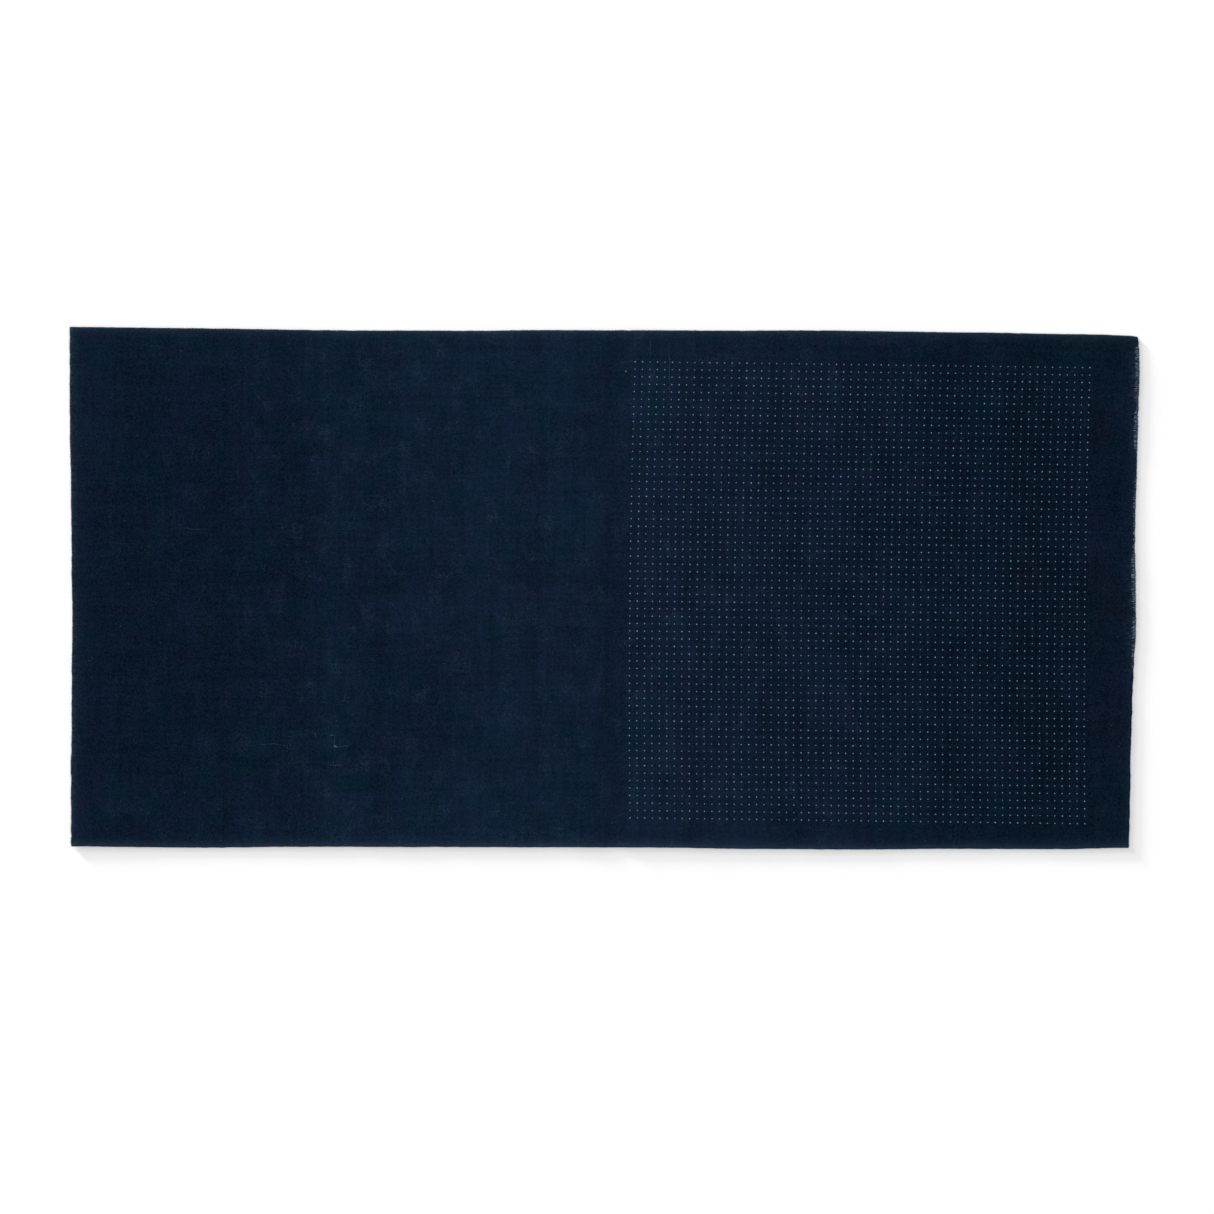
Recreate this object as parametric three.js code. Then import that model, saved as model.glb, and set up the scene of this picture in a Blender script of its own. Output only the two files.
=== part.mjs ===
// Sashiko cloth: one cut length of plain-woven indigo cotton, laid out flat and face up.
// Sizes are in millimetres. X runs along the warp, Y across the loom width, and Z is up.
// The origin is on the surface that the cloth lies on, under the middle of its outline.

import * as THREE from 'three';

// Driving dimensions of the sheet
const SHEET_THICKNESS = 1.1;
const CLOTH_COLOUR = 0x0e1b2b;

// The four corners of the laid cloth, seen from above.
// The cut at the right end leans a little, so the lower edge is shorter than the upper one.
const CORNERS = {
  lowerLeft: { x: -357.1, y: -173.0 },
  lowerRight: { x: 351.4, y: -174.0 },
  upperRight: { x: 357.9, y: 169.0 },
  upperLeft: { x: -358.1, y: 175.0 },
};

// How far each edge stands out from the straight line between its corners.
// "at" is the share of the edge's length, from the left or from below, and "out" is in millimetres.
const UPPER_SELVEDGE = [
  { at: 0.0, out: 0.0 },
  { at: 0.1, out: -0.2 },
  { at: 0.25, out: -0.8 },
  { at: 0.36, out: -0.4 },
  { at: 0.46, out: 0.6 },
  { at: 0.6, out: 1.1 },
  { at: 0.7, out: 1.8 },
  { at: 0.85, out: 1.3 },
  { at: 0.95, out: 0.7 },
  { at: 1.0, out: 0.0 },
];
const LOWER_SELVEDGE = [
  { at: 0.0, out: 0.0 },
  { at: 0.12, out: 0.7 },
  { at: 0.22, out: 0.0 },
  { at: 0.4, out: 0.1 },
  { at: 0.56, out: 0.2 },
  { at: 0.64, out: 1.0 },
  { at: 0.74, out: 1.3 },
  { at: 0.84, out: 0.8 },
  { at: 0.93, out: 0.9 },
  { at: 1.0, out: 0.0 },
];
const LEFT_CUT_END = [
  { at: 0.0, out: 0.0 },
  { at: 0.14, out: 0.0 },
  { at: 0.22, out: -0.6 },
  { at: 0.34, out: -0.8 },
  { at: 0.43, out: -1.3 },
  { at: 0.53, out: -0.9 },
  { at: 0.69, out: -0.6 },
  { at: 0.8, out: 0.0 },
  { at: 1.0, out: 0.0 },
];
const RIGHT_CUT_END = [
  { at: 0.0, out: 0.0 },
  { at: 0.15, out: -0.1 },
  { at: 0.3, out: 0.3 },
  { at: 0.36, out: 0.9 },
  { at: 0.42, out: 1.7 },
  { at: 0.5, out: 0.9 },
  { at: 0.62, out: 0.0 },
  { at: 0.78, out: 0.4 },
  { at: 0.92, out: 0.8 },
  { at: 1.0, out: 0.0 },
];

// The upper right corner is worn round.
const WORN_CORNER_PULL = 0.9;
const WORN_CORNER_REACH = 3.0;

// Creases left by the way the cloth was stored, as soft troughs with a raised shoulder on each side.
// "along" says which way a crease runs, and "place" is where it crosses, from the middle of the cloth.
const CREASES = [
  { along: 'y', place: 8, depth: 0.3, halfWidth: 7, shoulder: 0.3, shoulderWidth: 30 },
  { along: 'x', place: -1, depth: 0.12, halfWidth: 8, shoulder: 0.12, shoulderWidth: 26 },
  { along: 'y', place: 165, depth: 0.1, halfWidth: 9, shoulder: 0.1, shoulderWidth: 30 },
  { along: 'y', place: -168, depth: 0.1, halfWidth: 9, shoulder: 0.1, shoulderWidth: 30 },
];

// Long, low waves where the cloth doesn't quite lie down: wavelengths and height in millimetres.
const WAVES = [
  { height: 0.12, lengthX: 230, lengthY: 620, turn: 0.4 },
  { height: 0.08, lengthX: 140, lengthY: -410, turn: 1.9 },
  { height: 0.06, lengthX: 520, lengthY: 120, turn: 3.1 },
];

// The mesh: even steps over the cloth, with closer ones across the middle crease and by the edges
const COLUMNS = 56;
const ROWS = 28;
const EXTRA_COLUMNS_FROM_MIDDLE = [-3, 1, 5, 11, 15, 19];
const EDGE_STEP = 2.2;
const SOLE_HALF_LENGTH = 300;
const SOLE_HALF_WIDTH = 140;

// A smooth value between the rows of an edge table
function edgeOffset(table, share) {
  let row = 0;
  while (row < table.length - 2 && share > table[row + 1].at) {
    row += 1;
  }
  const low = table[row];
  const high = table[row + 1];
  const part = (share - low.at) / (high.at - low.at);
  const eased = part * part * (3 - 2 * part);
  return low.out + (high.out - low.out) * eased;
}

// A point on one edge: along the straight line between two corners, moved out square to it
function edgePoint(from, to, table, share, outwardSide) {
  const along = new THREE.Vector2(to.x - from.x, to.y - from.y);
  const outward = new THREE.Vector2(-along.y, along.x).normalize().multiplyScalar(outwardSide);
  const point = new THREE.Vector2(from.x, from.y).addScaledVector(along, share);
  return point.addScaledVector(outward, edgeOffset(table, share));
}

// Where a point of the cloth lies, from its shares of the length and of the width.
// The four edges are blended over the cloth, so its threads follow them.
function clothPoint(shareX, shareY) {
  const { lowerLeft, lowerRight, upperRight, upperLeft } = CORNERS;
  const below = edgePoint(lowerLeft, lowerRight, LOWER_SELVEDGE, shareX, -1);
  const above = edgePoint(upperLeft, upperRight, UPPER_SELVEDGE, shareX, 1);
  const left = edgePoint(lowerLeft, upperLeft, LEFT_CUT_END, shareY, 1);
  const right = edgePoint(lowerRight, upperRight, RIGHT_CUT_END, shareY, -1);
  const blend = (axis) => {
    const acrossEdges = (1 - shareY) * below[axis] + shareY * above[axis];
    const alongEdges = (1 - shareX) * left[axis] + shareX * right[axis];
    const lower = (1 - shareX) * lowerLeft[axis] + shareX * lowerRight[axis];
    const upper = (1 - shareX) * upperLeft[axis] + shareX * upperRight[axis];
    return acrossEdges + alongEdges - ((1 - shareY) * lower + shareY * upper);
  };
  const point = new THREE.Vector2(blend('x'), blend('y'));
  return pullWornCorner(point);
}

// Draws the worn corner in towards the middle of the cloth
function pullWornCorner(point) {
  const { upperRight } = CORNERS;
  const distance = Math.hypot(point.x - upperRight.x, point.y - upperRight.y);
  const pull = WORN_CORNER_PULL * Math.exp(-((distance / WORN_CORNER_REACH) ** 2));
  point.x -= pull * Math.SQRT1_2;
  point.y -= pull * Math.SQRT1_2;
  return point;
}

// A soft trough with its two shoulders, by the distance from the crease
function creaseHeight(crease, distance) {
  const trough = crease.depth * Math.exp(-((distance / crease.halfWidth) ** 2));
  const shoulder = crease.shoulder * Math.exp(-((distance / crease.shoulderWidth) ** 2));
  return shoulder - trough;
}

// Height of the cloth's face over its plain thickness
function relief(x, y) {
  let height = 0;
  for (const crease of CREASES) {
    const across = crease.along === 'y' ? x : y;
    height += creaseHeight(crease, across - crease.place);
  }
  for (const wave of WAVES) {
    const phase = 2 * Math.PI * (x / wave.lengthX + y / wave.lengthY) + wave.turn;
    height += wave.height * (1 + Math.sin(phase)) * 0.5;
  }
  return height;
}

// Shares along one direction: even steps, one short step at each edge, and any extra stations
function stations(steps, length, extraFromMiddle) {
  const shares = [0, EDGE_STEP / length, 1 - EDGE_STEP / length, 1];
  for (let step = 1; step < steps; step += 1) {
    shares.push(step / steps);
  }
  for (const place of extraFromMiddle) {
    shares.push(0.5 + place / length);
  }
  return shares.sort((a, b) => a - b);
}

// The sheet as one closed body: the face with its relief, the edges, and a flat underside
function makeClothGeometry() {
  const length = CORNERS.upperRight.x - CORNERS.upperLeft.x;
  const width = CORNERS.upperLeft.y - CORNERS.lowerLeft.y;
  const sharesX = stations(COLUMNS, length, EXTRA_COLUMNS_FROM_MIDDLE);
  const sharesY = stations(ROWS, width, []);
  const positions = [];
  const triangles = [];

  // Face, row by row from below
  for (const shareY of sharesY) {
    for (const shareX of sharesX) {
      const point = clothPoint(shareX, shareY);
      positions.push(point.x, point.y, SHEET_THICKNESS + relief(point.x, point.y));
    }
  }
  const faceIndex = (column, row) => row * sharesX.length + column;
  const lastColumn = sharesX.length - 1;
  const lastRow = sharesY.length - 1;
  for (let row = 0; row < lastRow; row += 1) {
    for (let column = 0; column < lastColumn; column += 1) {
      const near = faceIndex(column, row);
      const nearRight = faceIndex(column + 1, row);
      const far = faceIndex(column, row + 1);
      const farRight = faceIndex(column + 1, row + 1);
      triangles.push(near, nearRight, farRight, near, farRight, far);
    }
  }

  // Outline of the face, anticlockwise from the lower left corner
  const rim = [];
  for (let column = 0; column < lastColumn; column += 1) {
    rim.push(faceIndex(column, 0));
  }
  for (let row = 0; row < lastRow; row += 1) {
    rim.push(faceIndex(lastColumn, row));
  }
  for (let column = lastColumn; column > 0; column -= 1) {
    rim.push(faceIndex(column, lastRow));
  }
  for (let row = lastRow; row > 0; row -= 1) {
    rim.push(faceIndex(0, row));
  }

  // Edges: each rim point has a foot straight below it, on the surface
  const firstFoot = positions.length / 3;
  const footOutline = [];
  for (const index of rim) {
    const x = positions[3 * index];
    const y = positions[3 * index + 1];
    positions.push(x, y, 0);
    footOutline.push(new THREE.Vector2(x, y));
  }
  rim.forEach((index, place) => {
    const nextPlace = (place + 1) % rim.length;
    const next = rim[nextPlace];
    const foot = firstFoot + place;
    const nextFoot = firstFoot + nextPlace;
    triangles.push(index, foot, nextFoot, index, nextFoot, next);
  });

  // Underside: a large plain rectangle in the middle, and a border from it to the outline
  const firstSole = positions.length / 3;
  const sole = [
    new THREE.Vector2(-SOLE_HALF_LENGTH, -SOLE_HALF_WIDTH),
    new THREE.Vector2(-SOLE_HALF_LENGTH, SOLE_HALF_WIDTH),
    new THREE.Vector2(SOLE_HALF_LENGTH, SOLE_HALF_WIDTH),
    new THREE.Vector2(SOLE_HALF_LENGTH, -SOLE_HALF_WIDTH),
  ];
  for (const corner of sole) {
    positions.push(corner.x, corner.y, 0);
  }
  triangles.push(firstSole, firstSole + 1, firstSole + 2);
  triangles.push(firstSole, firstSole + 2, firstSole + 3);
  for (const [a, b, c] of THREE.ShapeUtils.triangulateShape(footOutline, [sole])) {
    triangles.push(firstFoot + a, firstFoot + c, firstFoot + b);
  }

  const geometry = new THREE.BufferGeometry();
  geometry.setAttribute('position', new THREE.Float32BufferAttribute(positions, 3));
  geometry.setIndex(triangles);
  geometry.computeVertexNormals();
  return geometry;
}

// Indigo-dyed cotton: matt, with no metallic look
const clothMaterial = new THREE.MeshStandardMaterial({
  color: CLOTH_COLOUR,
  roughness: 0.95,
  metalness: 0,
  name: 'indigo cotton',
});

const cloth = new THREE.Mesh(makeClothGeometry(), clothMaterial);
cloth.name = 'cloth';

const part = new THREE.Group();
part.add(cloth);

export default part;
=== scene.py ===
# %% [markdown]
# # A sashiko cloth, laid out flat
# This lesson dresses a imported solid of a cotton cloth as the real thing: an indigo-dyed plain weave
# with selvedges along its two long edges, raw cut ends, and a printed grid of pale guide dots.
# The solid fixes where the cloth lies and how large it is. Everything here is built round it,
# in metres, with Z up and the origin on the surface that the cloth lies on.

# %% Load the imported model
import math

import bpy
import numpy as np
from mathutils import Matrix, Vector


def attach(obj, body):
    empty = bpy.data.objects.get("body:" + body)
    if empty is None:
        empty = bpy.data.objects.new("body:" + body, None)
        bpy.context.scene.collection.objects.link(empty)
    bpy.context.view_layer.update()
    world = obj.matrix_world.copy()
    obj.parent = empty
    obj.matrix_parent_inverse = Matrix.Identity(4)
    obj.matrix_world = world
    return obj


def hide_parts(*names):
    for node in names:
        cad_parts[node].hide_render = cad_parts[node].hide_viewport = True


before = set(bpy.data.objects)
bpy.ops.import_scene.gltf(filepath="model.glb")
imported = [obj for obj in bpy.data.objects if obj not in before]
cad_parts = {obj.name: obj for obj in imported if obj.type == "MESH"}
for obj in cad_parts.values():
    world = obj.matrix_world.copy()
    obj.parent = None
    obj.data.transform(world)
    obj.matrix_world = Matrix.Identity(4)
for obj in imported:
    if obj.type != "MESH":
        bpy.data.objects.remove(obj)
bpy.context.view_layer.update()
MM = 0.001

# %% [markdown]
# ## Two small helpers
# Every colour is written as an sRGB hex value, as a dyer's chart or a paint program gives it, but the
# renderer works in linear light. One function does that change for all of them.
# The materials and the Geometry Nodes trees are all node trees, so a second function adds a node,
# sets its own options, and fills or links its inputs. A link may name a node, meaning its first output.
# Some nodes have several inputs of one name, and those are given by number. A Mix node takes vectors
# at 4 and 5 and colours at 6 and 7, with its results at outputs 1 and 2. A Map Range node takes the
# value, the two ends of the range that it comes from, and the two ends of the one that it goes to.


# %% Helpers for colours and nodes
def linear(hex_colour):
    """The linear RGBA of an sRGB hex colour such as "0e1b2b"."""
    channels = []
    for place in (0, 2, 4):
        value = int(hex_colour[place : place + 2], 16) / 255
        channels.append(value / 12.92 if value <= 0.04045 else ((value + 0.055) / 1.055) ** 2.4)
    return (*channels, 1.0)


def add_node(tree, kind, settings=None, inputs=None):
    """Adds a node. settings are its own options, and inputs are values, nodes or sockets by input."""
    node = tree.nodes.new(kind)
    for name, value in (settings or {}).items():
        setattr(node, name, value)
    for place, source in (inputs or {}).items():
        if isinstance(source, bpy.types.Node):
            source = source.outputs[0]
        if isinstance(source, bpy.types.NodeSocket):
            tree.links.new(source, node.inputs[place])
        else:
            node.inputs[place].default_value = source
    return node


print("navy in linear light", [round(channel, 4) for channel in linear("0e1b2b")])

# %% [markdown]
# ## The camera
# The cloth was photographed from straight above, in a square frame. The printed dots are 5 mm apart
# and measure 7.46 pixels, which gives the size of a pixel and so the width of the view.
# A long lens from high up keeps the edges parallel, as they are there. The camera aims a little to
# the right of the cloth's middle and below it, because the cloth sits high in the frame.

# %% Camera straight above
PHOTO_SIDE_PX = 1214
MM_PER_PX = 0.670
CLOTH_MIDDLE_PX = (604.3, 588.1)
LENS_MM = 85.0
SENSOR_MM = 36.0

scene = bpy.context.scene
view_width = PHOTO_SIDE_PX * MM_PER_PX * MM
camera_height = view_width * LENS_MM / SENSOR_MM
camera_data = bpy.data.cameras.new("camera")
camera_data.lens = LENS_MM
camera_data.sensor_width = SENSOR_MM
camera_data.clip_start = 0.05
camera_data.clip_end = 60.0
camera = bpy.data.objects.new("camera", camera_data)
camera.location = (
    (PHOTO_SIDE_PX / 2 - CLOTH_MIDDLE_PX[0]) * MM_PER_PX * MM,
    (CLOTH_MIDDLE_PX[1] - PHOTO_SIDE_PX / 2) * MM_PER_PX * MM,
    camera_height,
)
scene.collection.objects.link(camera)
scene.camera = camera
print("camera at", [round(place, 4) for place in camera.location])

# %% [markdown]
# ## Light and tone
# The cloth lies on white paper that burns out to pure white, under soft, even light. Only its right
# and lower edges throw a faint grey shadow, so the light with a direction comes low from the upper
# left. Two wide suns make it, a low one for the far part of the shadow and a higher one for the part
# by the edge. Together they fade over a couple of centimetres, from an edge about a millimetre high.
# The white world fills in everything else.
# The view transform is Standard, so that white stays white and the navy keeps its depth.

# %% World and suns
WORLD_STRENGTH = 0.812
SUN_AZIMUTH = math.radians(135.0)
# Columns: strength, elevation and width of disc in degrees
SUNS = [
    (8.1, 3.4, 3.2),
    (3.1, 8.5, 10.0),
]

scene.view_settings.view_transform = "Standard"
scene.view_settings.look = "None"
world = bpy.data.worlds.new("white_room")
scene.world = world
world.use_nodes = True
background = world.node_tree.nodes["Background"]
background.inputs["Color"].default_value = (1.0, 1.0, 1.0, 1.0)
background.inputs["Strength"].default_value = WORLD_STRENGTH

for strength, elevation_degrees, disc_degrees in SUNS:
    elevation = math.radians(elevation_degrees)
    sun_data = bpy.data.lights.new("sun", "SUN")
    sun_data.energy = strength
    sun_data.angle = math.radians(disc_degrees)
    sun = bpy.data.objects.new("sun", sun_data)
    towards_sun = Vector((
        math.cos(SUN_AZIMUTH) * math.cos(elevation),
        math.sin(SUN_AZIMUTH) * math.cos(elevation),
        math.sin(elevation),
    ))
    sun.rotation_mode = "QUATERNION"
    sun.rotation_quaternion = towards_sun.to_track_quat("Z", "Y")
    scene.collection.objects.link(sun)
print("sun heights in degrees", [row[1] for row in SUNS])

# %% [markdown]
# ## The white paper
# The surface is one large face of uncoated paper. Such paper is nearly white and quite matt, so it
# has no gloss for the low suns to glint in, and the eye sees only light and the shadow on it.

# %% Paper floor
FLOOR_COLOUR = "f4f4f4"
FLOOR_SIDE = 30.0

half_side = FLOOR_SIDE / 2
floor_corners = [
    (-half_side, -half_side, 0),
    (half_side, -half_side, 0),
    (half_side, half_side, 0),
    (-half_side, half_side, 0),
]
floor_mesh = bpy.data.meshes.new("floor")
floor_mesh.from_pydata(floor_corners, [], [(0, 1, 2, 3)])
floor = bpy.data.objects.new("floor", floor_mesh)
scene.collection.objects.link(floor)
paper = bpy.data.materials.new("white_paper")
paper.use_nodes = True
paper_shader = paper.node_tree.nodes["Principled BSDF"]
paper_shader.inputs["Base Color"].default_value = linear(FLOOR_COLOUR)
paper_shader.inputs["Roughness"].default_value = 1.0
paper_shader.inputs["Specular IOR Level"].default_value = 0.0
floor_mesh.materials.append(paper)
print("floor side in m", FLOOR_SIDE)

# %% [markdown]
# ## The outline
# A length of cloth is never a true rectangle: the loom pulls its selvedges in and out, and the
# scissors wander across the ends. Each edge is a straight line between two corners plus a short
# table of how far it stands out from that line, which is how one would measure it with a ruler.
# The same tables shape the solid.

# %% Corners and edges of the cloth, in millimetres
CORNERS = {
    "lower_left": (-357.1, -173.0),
    "lower_right": (351.4, -174.0),
    "upper_right": (357.9, 169.0),
    "upper_left": (-358.1, 175.0),
}
# Columns: share of the edge's length from the left or from below, and millimetres outwards
UPPER_SELVEDGE = [
    (0.0, 0.0), (0.1, -0.2), (0.25, -0.8), (0.36, -0.4), (0.46, 0.6),
    (0.6, 1.1), (0.7, 1.8), (0.85, 1.3), (0.95, 0.7), (1.0, 0.0),
]
LOWER_SELVEDGE = [
    (0.0, 0.0), (0.12, 0.7), (0.22, 0.0), (0.4, 0.1), (0.56, 0.2),
    (0.64, 1.0), (0.74, 1.3), (0.84, 0.8), (0.93, 0.9), (1.0, 0.0),
]
LEFT_CUT_END = [
    (0.0, 0.0), (0.14, 0.0), (0.22, -0.6), (0.34, -0.8), (0.43, -1.3),
    (0.53, -0.9), (0.69, -0.6), (0.8, 0.0), (1.0, 0.0),
]
RIGHT_CUT_END = [
    (0.0, 0.0), (0.15, -0.1), (0.3, 0.3), (0.36, 0.9), (0.42, 1.7),
    (0.5, 0.9), (0.62, 0.0), (0.78, 0.4), (0.92, 0.8), (1.0, 0.0),
]
print("corners", list(CORNERS))

# %% [markdown]
# Between two rows of a table the edge eases over from one to the other. A Coons patch then blends
# the four edges over the whole cloth, so its threads follow the edges, as real ones do. The upper
# right corner is worn round: it is drawn in, which dies away a few millimetres off.

# %% Any point of the cloth, in millimetres
WORN_CORNER_PULL = 0.9
WORN_CORNER_REACH = 3.0


def eased(table, share):
    """A smooth value between the rows of a two-column table."""
    places, values = np.array(table).T
    row = np.clip(np.searchsorted(places, share, side="right") - 1, 0, len(places) - 2)
    part = (share - places[row]) / (places[row + 1] - places[row])
    part = part * part * (3 - 2 * part)
    return values[row] + (values[row + 1] - values[row]) * part


def edge_points(start, end, table, share, side):
    """Points on one edge: along the straight line, moved out square to it."""
    start = np.array(CORNERS[start])
    along = np.array(CORNERS[end]) - start
    outward = np.array([-along[1], along[0]]) / np.hypot(*along) * side
    return start + share[..., None] * along + eased(table, share)[..., None] * outward


def cloth_points(share_x, share_y):
    """Where points of the cloth lie, in millimetres, from their shares of the length and the width."""
    below = edge_points("lower_left", "lower_right", LOWER_SELVEDGE, share_x, -1)
    above = edge_points("upper_left", "upper_right", UPPER_SELVEDGE, share_x, 1)
    left = edge_points("lower_left", "upper_left", LEFT_CUT_END, share_y, 1)
    right = edge_points("lower_right", "upper_right", RIGHT_CUT_END, share_y, -1)
    corner = {name: np.array(place) for name, place in CORNERS.items()}
    sx = share_x[..., None]
    sy = share_y[..., None]
    lower = (1 - sx) * corner["lower_left"] + sx * corner["lower_right"]
    upper = (1 - sx) * corner["upper_left"] + sx * corner["upper_right"]
    points = (1 - sy) * (below - lower) + sy * (above - upper) + (1 - sx) * left + sx * right
    away = points - corner["upper_right"]
    pull = WORN_CORNER_PULL * np.exp(-(away**2).sum(-1) / WORN_CORNER_REACH**2)
    return points - pull[..., None] * math.sqrt(0.5)


check_point = cloth_points(np.array([1.0]), np.array([0.5]))[0]
print("middle of the right cut end in mm", check_point.round(1))

# %% [markdown]
# ## How flat it lies
# The cloth was stored folded, so a soft trough with two raised shoulders still crosses its middle
# and fainter ones mark the other folds. Long low waves show where it doesn't quite lie down, and
# faint ripples of random heading run over all of it.
# These are sums of simple curves rather than a simulation, because a flat cloth's relief is
# under a millimetre: a solver would add noise, and a formula can be placed by hand.

# %% Creases and waves, in millimetres
# Columns: axis that the crease runs along, place across it, depth, half width, shoulder, shoulder width
CREASES = [
    ("y", 8, 0.3, 7, 0.3, 30),
    ("x", -1, 0.12, 8, 0.12, 26),
    ("y", 165, 0.1, 9, 0.1, 30),
    ("y", -168, 0.1, 9, 0.1, 30),
]
# Columns: height, wavelength along X, wavelength along Y, turn
WAVES = [
    (0.12, 230, 620, 0.4),
    (0.08, 140, -410, 1.9),
    (0.06, 520, 120, 3.1),
]
# Each ripple draws its own wavelength from a range, and its own heading
RIPPLE_COUNT = 14
RIPPLE_LENGTHS = (28, 90)
RIPPLE_HEIGHT = 0.02
RIPPLE_SEED = 11


def relief(x, y):
    """Height of the cloth over its lowest lie, in millimetres."""
    height = np.zeros_like(x)
    for runs_along, place, depth, half_width, shoulder, shoulder_width in CREASES:
        away = (x if runs_along == "y" else y) - place
        height += shoulder * np.exp(-((away / shoulder_width) ** 2))
        height -= depth * np.exp(-((away / half_width) ** 2))
    for wave_height, length_x, length_y, turn in WAVES:
        phase = 2 * math.pi * (x / length_x + y / length_y) + turn
        height += wave_height * (1 + np.sin(phase)) / 2
    chance = np.random.default_rng(RIPPLE_SEED)
    for _ in range(RIPPLE_COUNT):
        heading = chance.uniform(0, math.pi)
        length = chance.uniform(*RIPPLE_LENGTHS)
        turn = chance.uniform(0, 2 * math.pi)
        phase = 2 * math.pi * (x * math.cos(heading) + y * math.sin(heading)) / length + turn
        height += RIPPLE_HEIGHT * (1 + np.sin(phase)) / 2
    return height


middle_fold = np.array([float(CREASES[0][1])])
print("height at the middle fold in mm", relief(middle_fold, np.zeros(1)).round(2))

# %% [markdown]
# ## The woven sheet
# The sheet is a closed mesh of two skins, one thickness of cloth apart, joined by a rounded rim. It
# could be a plane with a Solidify modifier, but writing both skins keeps full control of its maps:
# - "Fabric" is the cloth's own flat size in metres, so the weave follows the threads,
# - "Print" counts metres from the first printed dot along the printer's screen, which was laid on
#   slightly turned and bowed,
# - "Tone" says where the cloth is lighter or darker, by its dye and by painted light and shade,
#   "Hue" and "Bronze" say where the dye leans to green and where it lies so thick that it turned
#   reddish, and
# - "Wear" and "Fray" say where the face is rubbed, and how far the cut ends have come apart.
# The steps are closest by the edges, where the outline is uneven.

# %% Stations along the cloth
# The flat size is in metres, and the sizes after it are in millimetres
FLAT_LENGTH = 0.713
FLAT_WIDTH = 0.346
SHEET_THICKNESS = 0.6
RIM_BULGE = 0.25
STEP = 2.8
EDGE_STEPS = (0.7, 1.5, 2.6, 4.0)


def stations(length):
    """Shares of a length in mm: even steps, with closer ones by both ends."""
    edge = np.array(EDGE_STEPS) / length
    inner = np.linspace(edge[-1], 1 - edge[-1], round((length - 2 * EDGE_STEPS[-1]) / STEP) + 1)
    return np.concatenate([[0.0], edge[:-1], inner, 1 - edge[:-1][::-1], [1.0]])


shares_x = stations(FLAT_LENGTH / MM)
shares_y = stations(FLAT_WIDTH / MM)
print("stations", len(shares_x), "by", len(shares_y))

# %% [markdown]
# Scissors leave a fine unevenness of their own on the two ends, and the weft turns leave a smaller
# one on the selvedges. Both are drawn as smooth noise, from a fixed seed for each edge.

# %% Fine unevenness of the edges
# All in millimetres: heights, distance between knots, and how far into the cloth it is felt
CUT_WOBBLE = 0.13
SELVEDGE_WOBBLE = 0.06
WOBBLE_STEP = 3.5
WOBBLE_REACH = 4.0


def wobble(length, height, seed):
    """A function of the share along an edge: smooth noise of that height in mm."""
    chance = np.random.default_rng(seed)
    count = round(length / WOBBLE_STEP)
    knots = np.linspace(0, 1, count)
    values = chance.normal(0, height, count)
    values[[0, -1]] = 0
    return lambda share: eased(np.column_stack([knots, values]), share)


wobbles = {
    "left": wobble(FLAT_WIDTH / MM, CUT_WOBBLE, seed=21),
    "right": wobble(FLAT_WIDTH / MM, CUT_WOBBLE, seed=22),
    "lower": wobble(FLAT_LENGTH / MM, SELVEDGE_WOBBLE, seed=23),
    "upper": wobble(FLAT_LENGTH / MM, SELVEDGE_WOBBLE, seed=24),
}


def uneven_points(share_x, share_y):
    """cloth_points with the fine unevenness, which dies away a few millimetres into the cloth."""
    points = cloth_points(share_x, share_y)
    reach_x = WOBBLE_REACH * MM / FLAT_LENGTH
    reach_y = WOBBLE_REACH * MM / FLAT_WIDTH
    points[..., 0] -= wobbles["left"](share_y) * np.exp(-share_x / reach_x)
    points[..., 0] += wobbles["right"](share_y) * np.exp(-(1 - share_x) / reach_x)
    points[..., 1] -= wobbles["lower"](share_x) * np.exp(-share_y / reach_y)
    points[..., 1] += wobbles["upper"](share_x) * np.exp(-(1 - share_y) / reach_y)
    return points


print("edge noise in mm", CUT_WOBBLE, SELVEDGE_WOBBLE)

# %% [markdown]
# Piece dyeing is never even: narrow bars run across the width where a weft yarn drank more or less.
# The middle is painted lighter than the ends, a painted pool of light from above, and the stored fold
# line gets painted shade, with painted light on a strip beside it.
# These are slow changes, so they can sit on the mesh as an attribute instead of in the material.

# %% Painted light, dye bands and weft bars
# Columns: millimetres from the middle along X, and share of the mean tone
# Mostly a painted pool of light: the tone rises towards the middle as under a light above it. Its smaller
# ups and downs are uneven dye.
LIGHT_POOL_AND_DYE_BANDS = [
    (-356, 0.98), (-320, 0.87), (-270, 0.84), (-235, 0.91), (-205, 0.95), (-180, 1.12), (-130, 1.14),
    (-70, 1.16), (-35, 1.19), (0, 1.13), (25, 1.18), (50, 1.15), (75, 1.08), (110, 0.98),
    (150, 0.95), (190, 0.89), (235, 0.76), (260, 0.78), (285, 0.71), (356, 0.79),
]
# Columns: millimetres from the middle along X, half width, change in tone
WEFT_BARS_AND_FOLD_SHADE = [
    (-316, 11, -0.04), (-298, 5, 0.03), (-257, 9, -0.06), (-238, 8, 0.04),
    (-211, 9, -0.05), (-182, 8, 0.02), (-152, 8, -0.06), (-128, 8, 0.05),
    (-85, 8, 0.02), (-64, 9, 0.05), (-47, 6, -0.07), (-28, 6, 0.05),
    # The four bars on the next line are painted shade in the middle fold and painted light beside it.
    (-9, 4, 0.04), (5, 5, -0.03), (12.5, 5.5, -0.115), (27, 12, 0.03),
    (45, 6, 0.06), (64, 7, -0.06), (96, 7, 0.05), (116, 9, -0.05),
    (138, 5, 0.04), (153, 6, 0.06), (168, 5, -0.06), (179, 6, -0.04),
    (207, 8, 0.03), (224, 7, -0.03), (260, 6, 0.06), (280, 10, -0.04),
    (313, 7, 0.04),
]
print("weft bars", len(WEFT_BARS_AND_FOLD_SHADE))
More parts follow.
